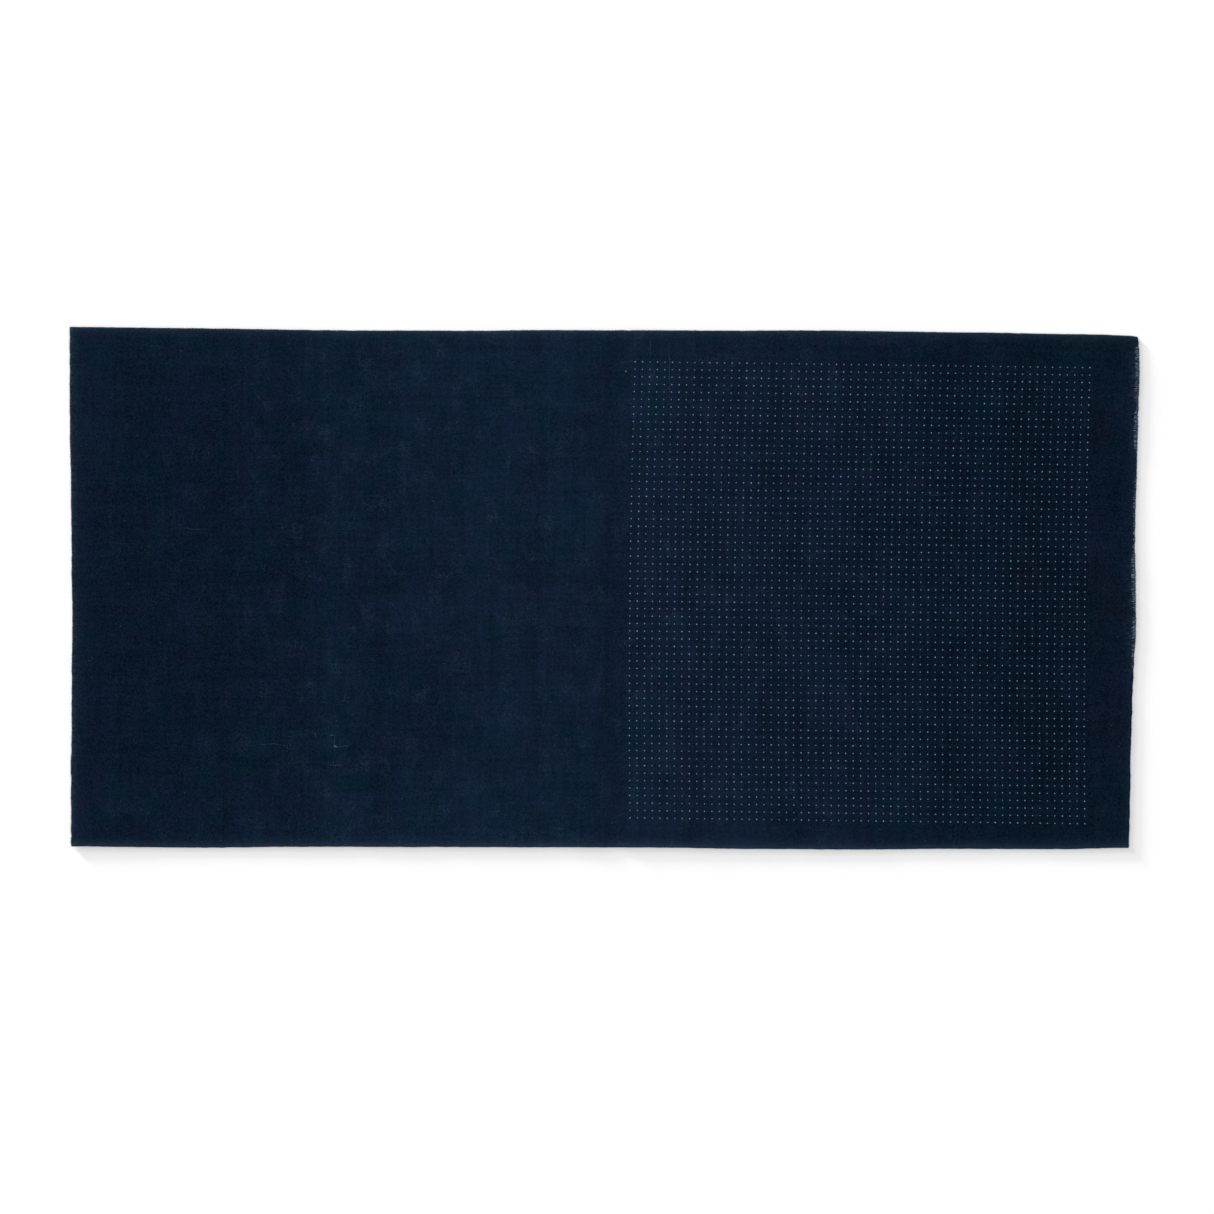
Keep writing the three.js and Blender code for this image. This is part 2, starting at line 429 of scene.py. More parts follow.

# %% [markdown]
# A few small spots are worn or loosely woven and look lighter, and broad ones are shades of the whole
# cloth. Four long, narrow ones are painted shade and painted light along creases. Bars and spots are
# soft: each fades out from its middle as a bell curve does. Each is a share of the tone that it lies
# on, so they multiply.

# %% Tone over the cloth, with painted light and shade
# Columns: x, y, half width along X, half width along Y, change in tone
MARKS_AND_CREASE_SHADE = [
    (-283, 100, 6, 80, 0.08), (-101, 90, 6, 80, -0.09), (-112, 90, 5, 70, 0.05),
    # The first two marks on the next line are painted shade along a small crease left of the middle fold.
    (-17, 60, 3, 90, -0.04), (-15.5, 154, 2.5, 30, -0.18), (-181, -103, 9, 7, 0.42),
    (-128, 112, 7, 6, 0.18), (-22, 122, 8, 6, 0.16), (153, 128, 4, 4, 0.22),
    (109, -137, 5, 4, 0.20), (-264, -105, 5, 6, 0.34), (-133, -127, 5, 4, 0.20),
    (0, 155, 700, 60, 0.07), (0, -150, 700, 35, 0.08), (-285, 158, 55, 28, 0.15),
    (-275, -150, 70, 18, 0.12), (-135, -98, 45, 32, -0.12), (-50, 62, 60, 18, 0.06),
    (320, 155, 45, 16, 0.09), (160, -75, 50, 35, 0.06), (348, -40, 12, 25, 0.12),
    # The first two marks on the next line are painted shade above the faint fold across the middle and
    # painted light below it.
    (-180, 9, 220, 10, -0.05), (-180, -18, 220, 14, 0.04), (-222, -106, 22, 3, 0.13),
]


def spots(x, y, marks):
    """The soft oval that each row of a table of marks leaves at a place on the cloth."""
    for mark_x, mark_y, wide, tall, change in marks:
        yield change * np.exp(-(((x - mark_x) / wide) ** 2) - ((y - mark_y) / tall) ** 2)


def tone_with_painted_light(x, y):
    """Share of the mean tone at a place on the cloth, painted light and shade included."""
    tone = np.interp(x, *np.array(LIGHT_POOL_AND_DYE_BANDS).T)
    for bar_x, half_width, change in WEFT_BARS_AND_FOLD_SHADE:
        tone = tone * (1 + change * np.exp(-(((x - bar_x) / half_width) ** 2)))
    for spot in spots(x, y, MARKS_AND_CREASE_SHADE):
        tone = tone * (1 + spot)
    return tone


print("tone at the middle", tone_with_painted_light(np.zeros(1), np.zeros(1)).round(2))

# %% [markdown]
# Indigo is not one hue. It leans towards green where it lies thin and towards purple where it lies
# thick, and where there is more of it still, the yarn turns reddish, which dyers call bronzing.
# This cloth is greenest near its right end, with purple and bronzed patches in between. Two more
# attributes say so, and the material mixes its dye colours by them.

# %% Hue and bronzing over the cloth
# Columns: millimetres from the middle along X, and lean from purple (0) to green (1)
HUE_BANDS = [
    (-358, 0.50), (-300, 0.54), (-180, 0.46), (-75, 0.35), (20, 0.36),
    (90, 0.44), (165, 0.50), (225, 0.62), (285, 0.80), (320, 0.76), (358, 0.54),
]
# Columns: x, y, half width along X, half width along Y, change in hue
HUE_MARKS = [
    (296, 104, 9, 20, -0.25), (318, 66, 12, 26, -0.35), (334, 28, 12, 24, -0.50),
    (286, 12, 8, 12, -0.40), (338, -22, 12, 14, -0.50), (346, -70, 9, 16, -0.55),
    (344, -108, 12, 14, -0.55), (322, -84, 10, 16, -0.45), (301, -52, 8, 8, -0.40),
    (274, -116, 9, 7, -0.40), (-345, 125, 12, 45, -0.40),
]
# Columns: x, y, half width along X, half width along Y, how bronzed
BRONZE_MARKS = [
    (333, 108, 8, 15, 1.0), (333, 7, 9, 15, 1.05), (344, -16, 11, 10, 1.0),
    (341, -55, 14, 16, 0.3), (339, -94, 14, 20, 0.75), (330, -153, 8, 7, 0.7),
    (286, 6, 12, 12, 0.75), (316, -24, 12, 12, 0.55), (-30, -4, 48, 34, 0.3),
    (135, 125, 14, 12, 0.6), (45, 38, 12, 12, 0.4), (-195, 35, 14, 12, 0.5),
    (-255, -25, 14, 12, 0.35), (-135, 155, 16, 10, 0.6), (90, 0, 95, 260, 0.25),
    (75, 35, 14, 14, 0.35),
]


def dye_hue(x, y):
    """Lean of the dye's hue at a place on the cloth."""
    return np.interp(x, *np.array(HUE_BANDS).T) + sum(spots(x, y, HUE_MARKS))


def bronzing(x, y):
    """How bronzed the dye is at a place on the cloth."""
    return sum(spots(x, y, BRONZE_MARKS))


print("hue at the middle", dye_hue(np.zeros(1), np.zeros(1)).round(2))

# %% [markdown]
# Handling rubs the face pale. Here that shows most on the left of the middle fold and fades towards
# both ends, so one table along the cloth holds it.

# %% Wear along the cloth
# Columns: millimetres from the middle along X, and how much the face is rubbed there
WEAR_BANDS = [
    (-358, 0.25), (-270, 0.45), (-190, 1.0), (-60, 0.85),
    (60, 0.72), (180, 0.6), (260, 0.4), (358, 0.3),
]


def wear(x):
    """How rubbed the face is at a place along the cloth."""
    return np.interp(x, *np.array(WEAR_BANDS).T)


print("wear at the middle", wear(0.0).round(2))

# %% [markdown]
# The cut ends have come apart more in some stretches than in others. The right one has frayed in
# four of them, while the left one was cut cleaner. The tables hold for the pale zone on the sheet
# and for the loose yarns that grow from it later.

# %% Fray along the two cut ends
# Columns: millimetres from the middle across the width, and how frayed the end is there
RIGHT_FRAY = [
    (-174, 0.25), (-60, 0.3), (-40, 0.75), (-36, 0.9), (-22, 0.9), (-16, 0.4), (-10, 0.9), (18, 0.95),
    (24, 0.5), (60, 0.55), (88, 0.35), (98, 0.9), (116, 0.9), (122, 0.45), (128, 1.0), (160, 0.95),
    (164, 0.15), (170, 0.1),
]
LEFT_FRAY = [(-174, 0.4), (-90, 0.55), (-20, 0.35), (60, 0.5), (120, 0.4), (175, 0.5)]


def fray_at(x, y):
    """How frayed the nearer cut end is, for places given in millimetres."""
    return np.where(x > 0, np.interp(y, *np.array(RIGHT_FRAY).T), np.interp(y, *np.array(LEFT_FRAY).T))


print("fray at the upper right", fray_at(np.array([357.0]), np.array([140.0])))

# %% [markdown]
# The printer's screen has 62 by 62 dots, 5 mm apart. It was turned clockwise by about two thirds of
# a degree against the table, and its columns bow to the left by 1.7 mm at mid height.
# To know where a place on the cloth lies on the screen, its distance from the first dot is written
# as so many steps along a row and so many down a column, and the bow is taken off again.

# %% Place on the printed grid
# All in millimetres. A step leads from one dot to the next, along a row or down a column.
DOT_PITCH = 5.0
DOT_COUNT = 62
FIRST_DOT = (19.7, 151.6)
ROW_STEP = (4.993, -0.065)
COLUMN_STEP = (-0.057, -5.007)
COLUMN_BOW = 1.7
# Share of the bow that lies to the left of the straight column
BOW_BALANCE = 0.42


def print_places(x, y):
    """Metres along the screen's rows and down its columns, from the first dot."""
    steps = np.array([ROW_STEP, COLUMN_STEP]).T
    away = np.stack([x - FIRST_DOT[0], y - FIRST_DOT[1]])
    column, row = np.linalg.inv(steps) @ away.reshape(2, -1)
    from_mid_height = 2 * row / (DOT_COUNT - 1) - 1
    column = column - COLUMN_BOW * (from_mid_height**2 - BOW_BALANCE) / DOT_PITCH
    return np.stack([column * DOT_PITCH * MM, row * DOT_PITCH * MM]).reshape(2, *x.shape)


print("grid side in mm", (DOT_COUNT - 1) * DOT_PITCH)

# %% [markdown]
# Now the mesh itself. Both skins use the same stations. The rim adds one ring of points that stand
# out a little at mid height, so that the edge is round, as a turned weft yarn is.

# %% Points of the sheet
columns = len(shares_x)
rows = len(shares_y)
grid_x, grid_y = np.meshgrid(shares_x, shares_y)
inset_x = RIM_BULGE * MM / FLAT_LENGTH
inset_y = RIM_BULGE * MM / FLAT_WIDTH
plan = uneven_points(inset_x + grid_x * (1 - 2 * inset_x), inset_y + grid_y * (1 - 2 * inset_y))
lie = relief(plan[..., 0], plan[..., 1])


def outward_at_rim(column, row):
    """Unit step away from the cloth at a rim point."""
    step = np.array([
        float(column == columns - 1) - float(column == 0),
        float(row == rows - 1) - float(row == 0),
    ])
    return step / np.hypot(*step)


rim = [(column, 0) for column in range(columns - 1)]
rim += [(columns - 1, row) for row in range(rows - 1)]
rim += [(column, rows - 1) for column in range(columns - 1, 0, -1)]
rim += [(0, row) for row in range(rows - 1, 0, -1)]
rim_plan = np.array([plan[row, column] + RIM_BULGE * outward_at_rim(column, row) for column, row in rim])
rim_lie = np.array([lie[row, column] + SHEET_THICKNESS / 2 for column, row in rim])

face_points = np.column_stack([plan.reshape(-1, 2), (lie + SHEET_THICKNESS).ravel()])
back_points = np.column_stack([plan.reshape(-1, 2), lie.ravel()])
rim_points = np.column_stack([rim_plan, rim_lie])
points = np.concatenate([face_points, back_points, rim_points]) * MM
print("points", len(points), "with", len(rim), "round the rim")

# %% [markdown]
# The face is a grid of quads that turn anticlockwise as seen from above, and the back is the same
# grid turned the other way, so that both look outwards. Two bands of quads close the edge: from the
# face out to the rim, and from the rim in to the back.

# %% Faces of the sheet
first_corner = (np.arange(rows - 1)[:, None] * columns + np.arange(columns - 1)).ravel()
above_first = first_corner + columns
face_quads = np.column_stack([first_corner, first_corner + 1, above_first + 1, above_first])
to_back = rows * columns
back_quads = face_quads[:, ::-1] + to_back
first_rim = 2 * rows * columns
rim_quads = []
for place, (column, row) in enumerate(rim):
    next_place = (place + 1) % len(rim)
    next_column, next_row = rim[next_place]
    top = row * columns + column
    next_top = next_row * columns + next_column
    middle = first_rim + place
    next_middle = first_rim + next_place
    rim_quads.append((top, middle, next_middle, next_top))
    rim_quads.append((middle, top + to_back, next_top + to_back, next_middle))
quads = np.concatenate([face_quads, back_quads, np.array(rim_quads)])

sheet_mesh = bpy.data.meshes.new("woven_sheet")
sheet_mesh.from_pydata(points.tolist(), [], quads.tolist())
sheet_mesh.polygons.foreach_set("use_smooth", np.ones(len(quads), bool))
sheet = bpy.data.objects.new("woven_sheet", sheet_mesh)
scene.collection.objects.link(sheet)
print("sheet triangles", 2 * len(quads))

# %% [markdown]
# The two UV maps are worked out point by point, and then copied to the corners of the faces, because
# a UV map lives there. The back of the cloth has no print, so its "Print" places lie off the grid.
# The five attributes stay on the points.

# %% Fill in the maps and attributes
NO_PRINT = -1.0

rim_shares = np.array([(shares_x[column], shares_y[row]) for column, row in rim])
flat_shares = np.column_stack([grid_x.ravel(), grid_y.ravel()])
fabric_places = np.concatenate([flat_shares, flat_shares, rim_shares]) * (FLAT_LENGTH, FLAT_WIDTH)
face_print = print_places(plan[..., 0], plan[..., 1]).reshape(2, -1).T
bare = np.full((rows * columns + len(rim), 2), NO_PRINT)
point_print = np.concatenate([face_print, bare])
corner_points = np.zeros(len(sheet_mesh.loops), np.int32)
sheet_mesh.loops.foreach_get("vertex_index", corner_points)
for name, places in (("Fabric", fabric_places), ("Print", point_print)):
    layer = sheet_mesh.uv_layers.new(name=name)
    layer.data.foreach_set("uv", places[corner_points].astype(np.float32).ravel())
x_mm = points[:, 0] / MM
y_mm = points[:, 1] / MM
for name, values in (
    ("Tone", tone_with_painted_light(x_mm, y_mm)),
    ("Hue", dye_hue(x_mm, y_mm)),
    ("Bronze", bronzing(x_mm, y_mm)),
    ("Wear", wear(x_mm)),
    ("Fray", fray_at(x_mm, y_mm)),
):
    attribute = sheet_mesh.attributes.new(name, "FLOAT", "POINT")
    attribute.data.foreach_set("value", values.astype(np.float32))
print("maps", [layer.name for layer in sheet_mesh.uv_layers])

# %% [markdown]
# ## Indigo cotton, plain weave
# The real cloth is a soft, rather open plain weave of single cotton yarns, about 0.5 mm apart, piece
# dyed navy. That is finer than a pixel of the render, so the yarns are drawn 0.8 mm apart.
# Each crossing of the weave is one cell: in every other cell the warp yarn is on top, and in the
# rest the weft yarn is. No yarn runs quite straight, so a soft noise moves the places a little first.

# %% Weave pattern
YARN_PITCH = 0.0008
WANDER = 0.0011
WANDER_LENGTH = 0.022

cotton = bpy.data.materials.new("indigo_plain_weave_cotton")
cotton.use_nodes = True
tree = cotton.node_tree
shader = tree.nodes["Principled BSDF"]
fabric = add_node(tree, "ShaderNodeUVMap", {"uv_map": "Fabric"})
wander_noise = add_node(
    tree,
    "ShaderNodeTexNoise",
    {"noise_dimensions": "2D"},
    {"Vector": fabric, "Scale": 1 / WANDER_LENGTH, "Detail": 1.0},
)
centred = add_node(
    tree,
    "ShaderNodeVectorMath",
    {"operation": "SUBTRACT"},
    {0: wander_noise.outputs["Color"], 1: (0.5, 0.5, 0.5)},
)
shift = add_node(tree, "ShaderNodeVectorMath", {"operation": "SCALE"}, {0: centred, "Scale": WANDER})
wandered = add_node(tree, "ShaderNodeVectorMath", {"operation": "ADD"}, {0: fabric, 1: shift})
in_yarns = add_node(
    tree, "ShaderNodeVectorMath", {"operation": "SCALE"}, {0: wandered, "Scale": 1 / YARN_PITCH}
)
cell = add_node(tree, "ShaderNodeVectorMath", {"operation": "FLOOR"}, {0: in_yarns})
cell_xy = add_node(tree, "ShaderNodeSeparateXYZ", {}, {0: cell})
crossing = add_node(
    tree, "ShaderNodeMath", {"operation": "ADD"}, {0: cell_xy.outputs[0], 1: cell_xy.outputs[1]}
)
weft_on_top = add_node(tree, "ShaderNodeMath", {"operation": "FLOORED_MODULO"}, {0: crossing, 1: 2.0})
print("weave yarns across the width", round(FLAT_WIDTH / YARN_PITCH))

# %% [markdown]
# At a frayed end the outermost weft yarns have dropped out, so only warp yarns are left there.
# How far in that goes follows the "Fray" attribute and an irregular noise.
# This noise and many others here are stretched along or across the threads, so one function makes
# them all from the size of what they draw. Its detail says how much finer noise lies on top.

# %% Bare warp at the cut ends
BARE_REACH = 0.0045
OPENING_SIZE = (0.0034, 0.0024)
SOFT = 2.0
CRISP = 3.0


def stretched_noise(size_x, size_y, detail):
    """A noise over the fabric whose features have these sizes in metres."""
    to_features = (1 / size_x, 1 / size_y, 1.0)
    stretched = add_node(
        tree, "ShaderNodeVectorMath", {"operation": "MULTIPLY"}, {0: fabric, 1: to_features}
    )
    return add_node(
        tree,
        "ShaderNodeTexNoise",
        {"noise_dimensions": "2D"},
        {"Vector": stretched, "Scale": 1.0, "Detail": detail},
    )


fabric_xy = add_node(tree, "ShaderNodeSeparateXYZ", {}, {0: fabric})
from_left = fabric_xy.outputs[0]
from_right = add_node(tree, "ShaderNodeMath", {"operation": "SUBTRACT"}, {0: FLAT_LENGTH, 1: from_left})
from_end = add_node(tree, "ShaderNodeMath", {"operation": "MINIMUM"}, {0: from_left, 1: from_right})
fray_attribute = add_node(tree, "ShaderNodeAttribute", {"attribute_name": "Fray"})
frayed = fray_attribute.outputs["Fac"]
opening = stretched_noise(*OPENING_SIZE, SOFT)
bare_there = add_node(tree, "ShaderNodeMath", {"operation": "MULTIPLY"}, {0: opening, 1: frayed})
bare_reach = add_node(tree, "ShaderNodeMath", {"operation": "MULTIPLY"}, {0: bare_there, 1: BARE_REACH})
woven = add_node(tree, "ShaderNodeMath", {"operation": "GREATER_THAN"}, {0: from_end, 1: bare_reach})
weft_on_top = add_node(tree, "ShaderNodeMath", {"operation": "MULTIPLY"}, {0: weft_on_top, 1: woven})
print("weft drops out over at most mm", BARE_REACH / MM)

# %% [markdown]
# A yarn's height is a cosine across it, from nothing at its sides to one in its middle. Along it,
# the yarn on top sinks by less than half towards both ends of its crossing, where it goes under.
# The two cases are mixed by which yarn is on top in the cell.

# %% Yarn height
CROWN_SHARE = 0.45

inside = add_node(tree, "ShaderNodeVectorMath", {"operation": "FRACTION"}, {0: in_yarns})
inside_turns = add_node(
    tree,
    "ShaderNodeVectorMath",
    {"operation": "MULTIPLY_ADD"},
    {0: inside, 1: (math.pi,) * 3, 2: (-math.pi / 2,) * 3},
)
turn_xy = add_node(tree, "ShaderNodeSeparateXYZ", {}, {0: inside_turns})
round_x = add_node(tree, "ShaderNodeMath", {"operation": "COSINE"}, {0: turn_xy.outputs[0]})
round_y = add_node(tree, "ShaderNodeMath", {"operation": "COSINE"}, {0: turn_xy.outputs[1]})
crown_x = add_node(
    tree, "ShaderNodeMath", {"operation": "MULTIPLY_ADD"}, {0: round_x, 1: CROWN_SHARE, 2: 1 - CROWN_SHARE}
)
crown_y = add_node(
    tree, "ShaderNodeMath", {"operation": "MULTIPLY_ADD"}, {0: round_y, 1: CROWN_SHARE, 2: 1 - CROWN_SHARE}
)
warp_height = add_node(tree, "ShaderNodeMath", {"operation": "MULTIPLY"}, {0: round_y, 1: crown_x})
weft_height = add_node(tree, "ShaderNodeMath", {"operation": "MULTIPLY"}, {0: round_x, 1: crown_y})
height = add_node(
    tree,
    "ShaderNodeMix",
    {"data_type": "FLOAT"},
    {"Factor": weft_on_top, "A": warp_height, "B": weft_height},
)
print("a yarn sinks along its crown by", CROWN_SHARE)

# %% [markdown]
# Each yarn has its own tone, which wanders slowly along it, because spun cotton is uneven and takes
# dye unevenly. That is what gives the cloth its fine, thready, slightly streaky grain.
# One noise makes the tone of a whole set of yarns: it runs smoothly along them, and from one yarn
# to the next it jumps to a far place. The warp and the weft read different layers of it.

# %% Yarn tone
YARN_TONE_LENGTH = 0.006
YARN_SPREAD = 7.3
# Columns: place along the yarn, number of the yarn, layer of the noise
YARN_SETS = [
    (fabric_xy.outputs[0], cell_xy.outputs[1], 0.0),
    (fabric_xy.outputs[1], cell_xy.outputs[0], 40.0),
]

tones = []
for along, number, layer_place in YARN_SETS:
    slow = add_node(tree, "ShaderNodeMath", {"operation": "DIVIDE"}, {0: along, 1: YARN_TONE_LENGTH})
    apart = add_node(tree, "ShaderNodeMath", {"operation": "MULTIPLY"}, {0: number, 1: YARN_SPREAD})
    place = add_node(tree, "ShaderNodeCombineXYZ", {}, {0: slow, 1: apart, 2: layer_place})
    tones.append(add_node(tree, "ShaderNodeTexNoise", {}, {"Vector": place, "Scale": 1.0, "Detail": SOFT}))
yarn_tone = add_node(
    tree, "ShaderNodeMix", {"data_type": "FLOAT"}, {"Factor": weft_on_top, "A": tones[0], "B": tones[1]}
)
print("nodes so far", len(tree.nodes))

# %% [markdown]
# A single yarn is a twist of short fibres, which shows close up as fine slanting lines. One noise
# draws them: it is squeezed across a line that leans off the yarn, and the weft's is the warp's
# turned by a right angle.

# %% Fibre twist
TWIST_LEAN = math.radians(24.0)
TWIST_SCALE = (1.1, 6.0, 1.0)

warp_twist = add_node(
    tree, "ShaderNodeMapping", {}, {"Vector": in_yarns, "Rotation": (0.0, 0.0, -TWIST_LEAN)}
)
weft_twist = add_node(
    tree, "ShaderNodeMapping", {}, {"Vector": in_yarns, "Rotation": (0.0, 0.0, -TWIST_LEAN - math.pi / 2)}
)
twist_place = add_node(
    tree, "ShaderNodeMix", {"data_type": "VECTOR"}, {"Factor": weft_on_top, 4: warp_twist, 5: weft_twist}
)
twist_place = add_node(
    tree, "ShaderNodeVectorMath", {"operation": "MULTIPLY"}, {0: twist_place.outputs[1], 1: TWIST_SCALE}
)
twist = add_node(
    tree,
    "ShaderNodeTexNoise",
    {"noise_dimensions": "2D"},
    {"Vector": twist_place, "Scale": 1.0, "Detail": SOFT},
)
print("fibre lines to a yarn", TWIST_SCALE[1])

# %% [markdown]
# ## Dye
# How light the dye comes out is uneven: weft bars a few millimetres wide run across the width, warp
# bars along it, and a mottled bloom of one to five centimetres lies over both. Each row of the table
# is one noise, stretched along the threads it belongs to, centred on zero and weighted. "Tone", which
# also holds painted light and shade, then multiplies their sum.

# %% Lightness of the dye
# Columns: size along X and Y in metres, weight
DYE_NOISES = [
    (0.0035, 0.060, 0.34),
    (0.060, 0.0040, 0.38),
    (0.011, 0.024, 0.295),
    (0.036, 0.048, 0.36),
]
MEAN_LIGHTNESS = 1.015


def weighted(source, weight, so_far):
    """Adds a noise, centred on zero and weighted, to a running value."""
    centred_noise = add_node(tree, "ShaderNodeMath", {"operation": "SUBTRACT"}, {0: source, 1: 0.5})
    return add_node(
        tree, "ShaderNodeMath", {"operation": "MULTIPLY_ADD"}, {0: centred_noise, 1: weight, 2: so_far}
    )


tone_attribute = add_node(tree, "ShaderNodeAttribute", {"attribute_name": "Tone"})
lightness = MEAN_LIGHTNESS
for size_x, size_y, weight in DYE_NOISES:
    lightness = weighted(stretched_noise(size_x, size_y, SOFT), weight, lightness)
# Painted light and shade come in here with "Tone".
lightness = add_node(
    tree, "ShaderNodeMath", {"operation": "MULTIPLY"}, {0: lightness, 1: tone_attribute.outputs["Fac"]}
)
print("nodes so far", len(tree.nodes))

# %% [markdown]
# The dye leans towards green in some patches and towards purple in others. Soft noises move the
# colour between the two, round the hue that the "Hue" attribute gives. "Bronze" and a noise of small
# patches then turn it reddish where the indigo lies thickest.

# %% Colour of the dye
# Columns: size of the patches in metres, weight
HUE_NOISES = [
    (0.012, 1.8),
    (0.045, 1.1),
]
GREEN_NAVY = "071825"
PURPLE_NAVY = "0c1729"
BRONZED_NAVY = "111623"
BRONZE_PATCH = 0.009

hue_attribute = add_node(tree, "ShaderNodeAttribute", {"attribute_name": "Hue"})
hue = hue_attribute.outputs["Fac"]
for patch, weight in HUE_NOISES:
    hue = weighted(stretched_noise(patch, patch, CRISP), weight, hue)
dye = add_node(
    tree,
    "ShaderNodeMix",
    {"data_type": "RGBA"},
    {"Factor": hue, 6: linear(PURPLE_NAVY), 7: linear(GREEN_NAVY)},
)
bronze_attribute = add_node(tree, "ShaderNodeAttribute", {"attribute_name": "Bronze"})
bronze_patches = stretched_noise(BRONZE_PATCH, BRONZE_PATCH, CRISP)
bronzed = add_node(
    tree,
    "ShaderNodeMath",
    {"operation": "MULTIPLY"},
    {0: bronze_patches, 1: bronze_attribute.outputs["Fac"]},
)
dye = add_node(
    tree,
    "ShaderNodeMix",
    {"data_type": "RGBA"},
    {"Factor": bronzed, 6: dye.outputs[2], 7: linear(BRONZED_NAVY)},
)
print("dye from", PURPLE_NAVY, "to", GREEN_NAVY)

# %% [markdown]
# ## Lint
# What makes the grain is paler and greyer than the dye: the undyed hearts of the yarns and the fuzz
# on top of them. It is added to the dye instead of brightening it, so pale spots lose their blue.
# Every float of yarn catches it differently, so each crossing of the weave gets a random share,
# each yarn a slowly changing one, and the twist of its fibres and a fine fuzz a little more. One
# crossing in some two thousand holds a nep, a tiny pale knot of fibre.

# %% Lint over the weave
LINT_COLOUR = "121921"
CROSSING_WEIGHT = 0.56
YARN_TONE_WEIGHT = 0.36
TWIST_WEIGHT = 0.9
FUZZ_SIZE = 0.0018
FUZZ_WEIGHT = 0.66
NEP_RARITY = 0.9995
NEP_WEIGHT = 3.8

crossing_chance = add_node(tree, "ShaderNodeTexWhiteNoise", {"noise_dimensions": "2D"}, {"Vector": cell})
crossing_colour = add_node(tree, "ShaderNodeSeparateColor", {}, {0: crossing_chance.outputs["Color"]})
nep = add_node(
    tree, "ShaderNodeMath", {"operation": "GREATER_THAN"}, {0: crossing_colour.outputs[1], 1: NEP_RARITY}
)
knot = add_node(tree, "ShaderNodeMath", {"operation": "MULTIPLY"}, {0: round_x, 1: round_y})
nep = add_node(tree, "ShaderNodeMath", {"operation": "MULTIPLY"}, {0: nep, 1: knot})
lint_and_painted_light = add_node(tree, "ShaderNodeMath", {"operation": "MULTIPLY"}, {0: nep, 1: NEP_WEIGHT})
lint_and_painted_light = weighted(crossing_chance, CROSSING_WEIGHT, lint_and_painted_light)
lint_and_painted_light = weighted(yarn_tone, YARN_TONE_WEIGHT, lint_and_painted_light)
lint_and_painted_light = weighted(twist, TWIST_WEIGHT, lint_and_painted_light)
lint_and_painted_light = weighted(stretched_noise(FUZZ_SIZE, FUZZ_SIZE, CRISP), FUZZ_WEIGHT, lint_and_painted_light)
print("neps on the face", round(FLAT_LENGTH * FLAT_WIDTH / YARN_PITCH**2 * (1 - NEP_RARITY)))

# %% [markdown]
# Where the face is rubbed, more lint shows. Only the upper part of a noise counts, which leaves pale
# patches on an even ground. The patches are speckled by crossing and show their single threads, and
# "Wear" says how strong they are.

# %% Rubbed patches
RUBBED_SIZE = (0.012, 0.016)
RUBBED_FROM = 0.5
RUBBED_WEIGHT = 3.0
WEFT_STREAK = (0.0020, 0.018)
WARP_STREAK = (0.018, 0.0020)
STREAK_WEIGHT = 2.6

rubbed = stretched_noise(*RUBBED_SIZE, CRISP)
rubbed = add_node(tree, "ShaderNodeMath", {"operation": "SUBTRACT"}, {0: rubbed, 1: RUBBED_FROM})
rubbed = add_node(tree, "ShaderNodeMath", {"operation": "MAXIMUM"}, {0: rubbed, 1: 0.0})
threads = weighted(stretched_noise(*WEFT_STREAK, SOFT), STREAK_WEIGHT, 1.0)
threads = weighted(stretched_noise(*WARP_STREAK, SOFT), STREAK_WEIGHT, threads)
rubbed = add_node(tree, "ShaderNodeMath", {"operation": "MULTIPLY"}, {0: rubbed, 1: threads})
rubbed = add_node(tree, "ShaderNodeMath", {"operation": "MULTIPLY"}, {0: rubbed, 1: crossing_chance})
wear_attribute = add_node(tree, "ShaderNodeAttribute", {"attribute_name": "Wear"})
wear_there = add_node(
    tree, "ShaderNodeMath", {"operation": "MULTIPLY"}, {0: wear_attribute.outputs["Fac"], 1: RUBBED_WEIGHT}
)
lint_and_painted_light = add_node(tree, "ShaderNodeMath", {"operation": "MULTIPLY_ADD"}, {0: rubbed, 1: wear_there, 2: lint_and_painted_light})
print("nodes so far", len(tree.nodes))

# %% [markdown]
# The edges are paler. Along the selvedges that is a painted glow of light at the thin edge, and at
# the cut ends the yarns open and show their undyed hearts. The distance to each edge comes from the
# "Fabric" map.
# By a cut end the pale zone also follows the fray and breaks up into small open patches. Less yarn is
# left there to hold dye, so less of the dye's own colour shows under the lint.

# %% Pale edges
# Columns: 0 for along the cloth or 1 for across it, place of the edge in metres, reach in metres,
# added lint, which for the selvedges is painted light
# Painted light: a glow along both selvedges, palest at the edge.
SELVEDGE_GLOW = [
    (1, 0.0, 0.0024, 2.0),
    (1, FLAT_WIDTH, 0.0024, 1.5),
]
CUT_ENDS = [
    (0, 0.0, 0.0027, 3.0),
    (0, FLAT_LENGTH, 0.0027, 1.8),
]
DYE_LOST = 0.16
OPENING_FROM = 0.36
OPENING_WEIGHT = 8.0
OPENING_LEAST = 0.34


def faded(axis, edge_place, reach):
    """Falls from one at an edge towards nothing inside the cloth."""
    here = fabric_xy.outputs[axis]
    away = add_node(tree, "ShaderNodeMath", {"operation": "SUBTRACT"}, {0: here, 1: edge_place})
    distance = add_node(tree, "ShaderNodeMath", {"operation": "ABSOLUTE"}, {0: away})
    in_reaches = add_node(tree, "ShaderNodeMath", {"operation": "DIVIDE"}, {0: distance, 1: -reach})
    return add_node(tree, "ShaderNodeMath", {"operation": "EXPONENT"}, {0: in_reaches})


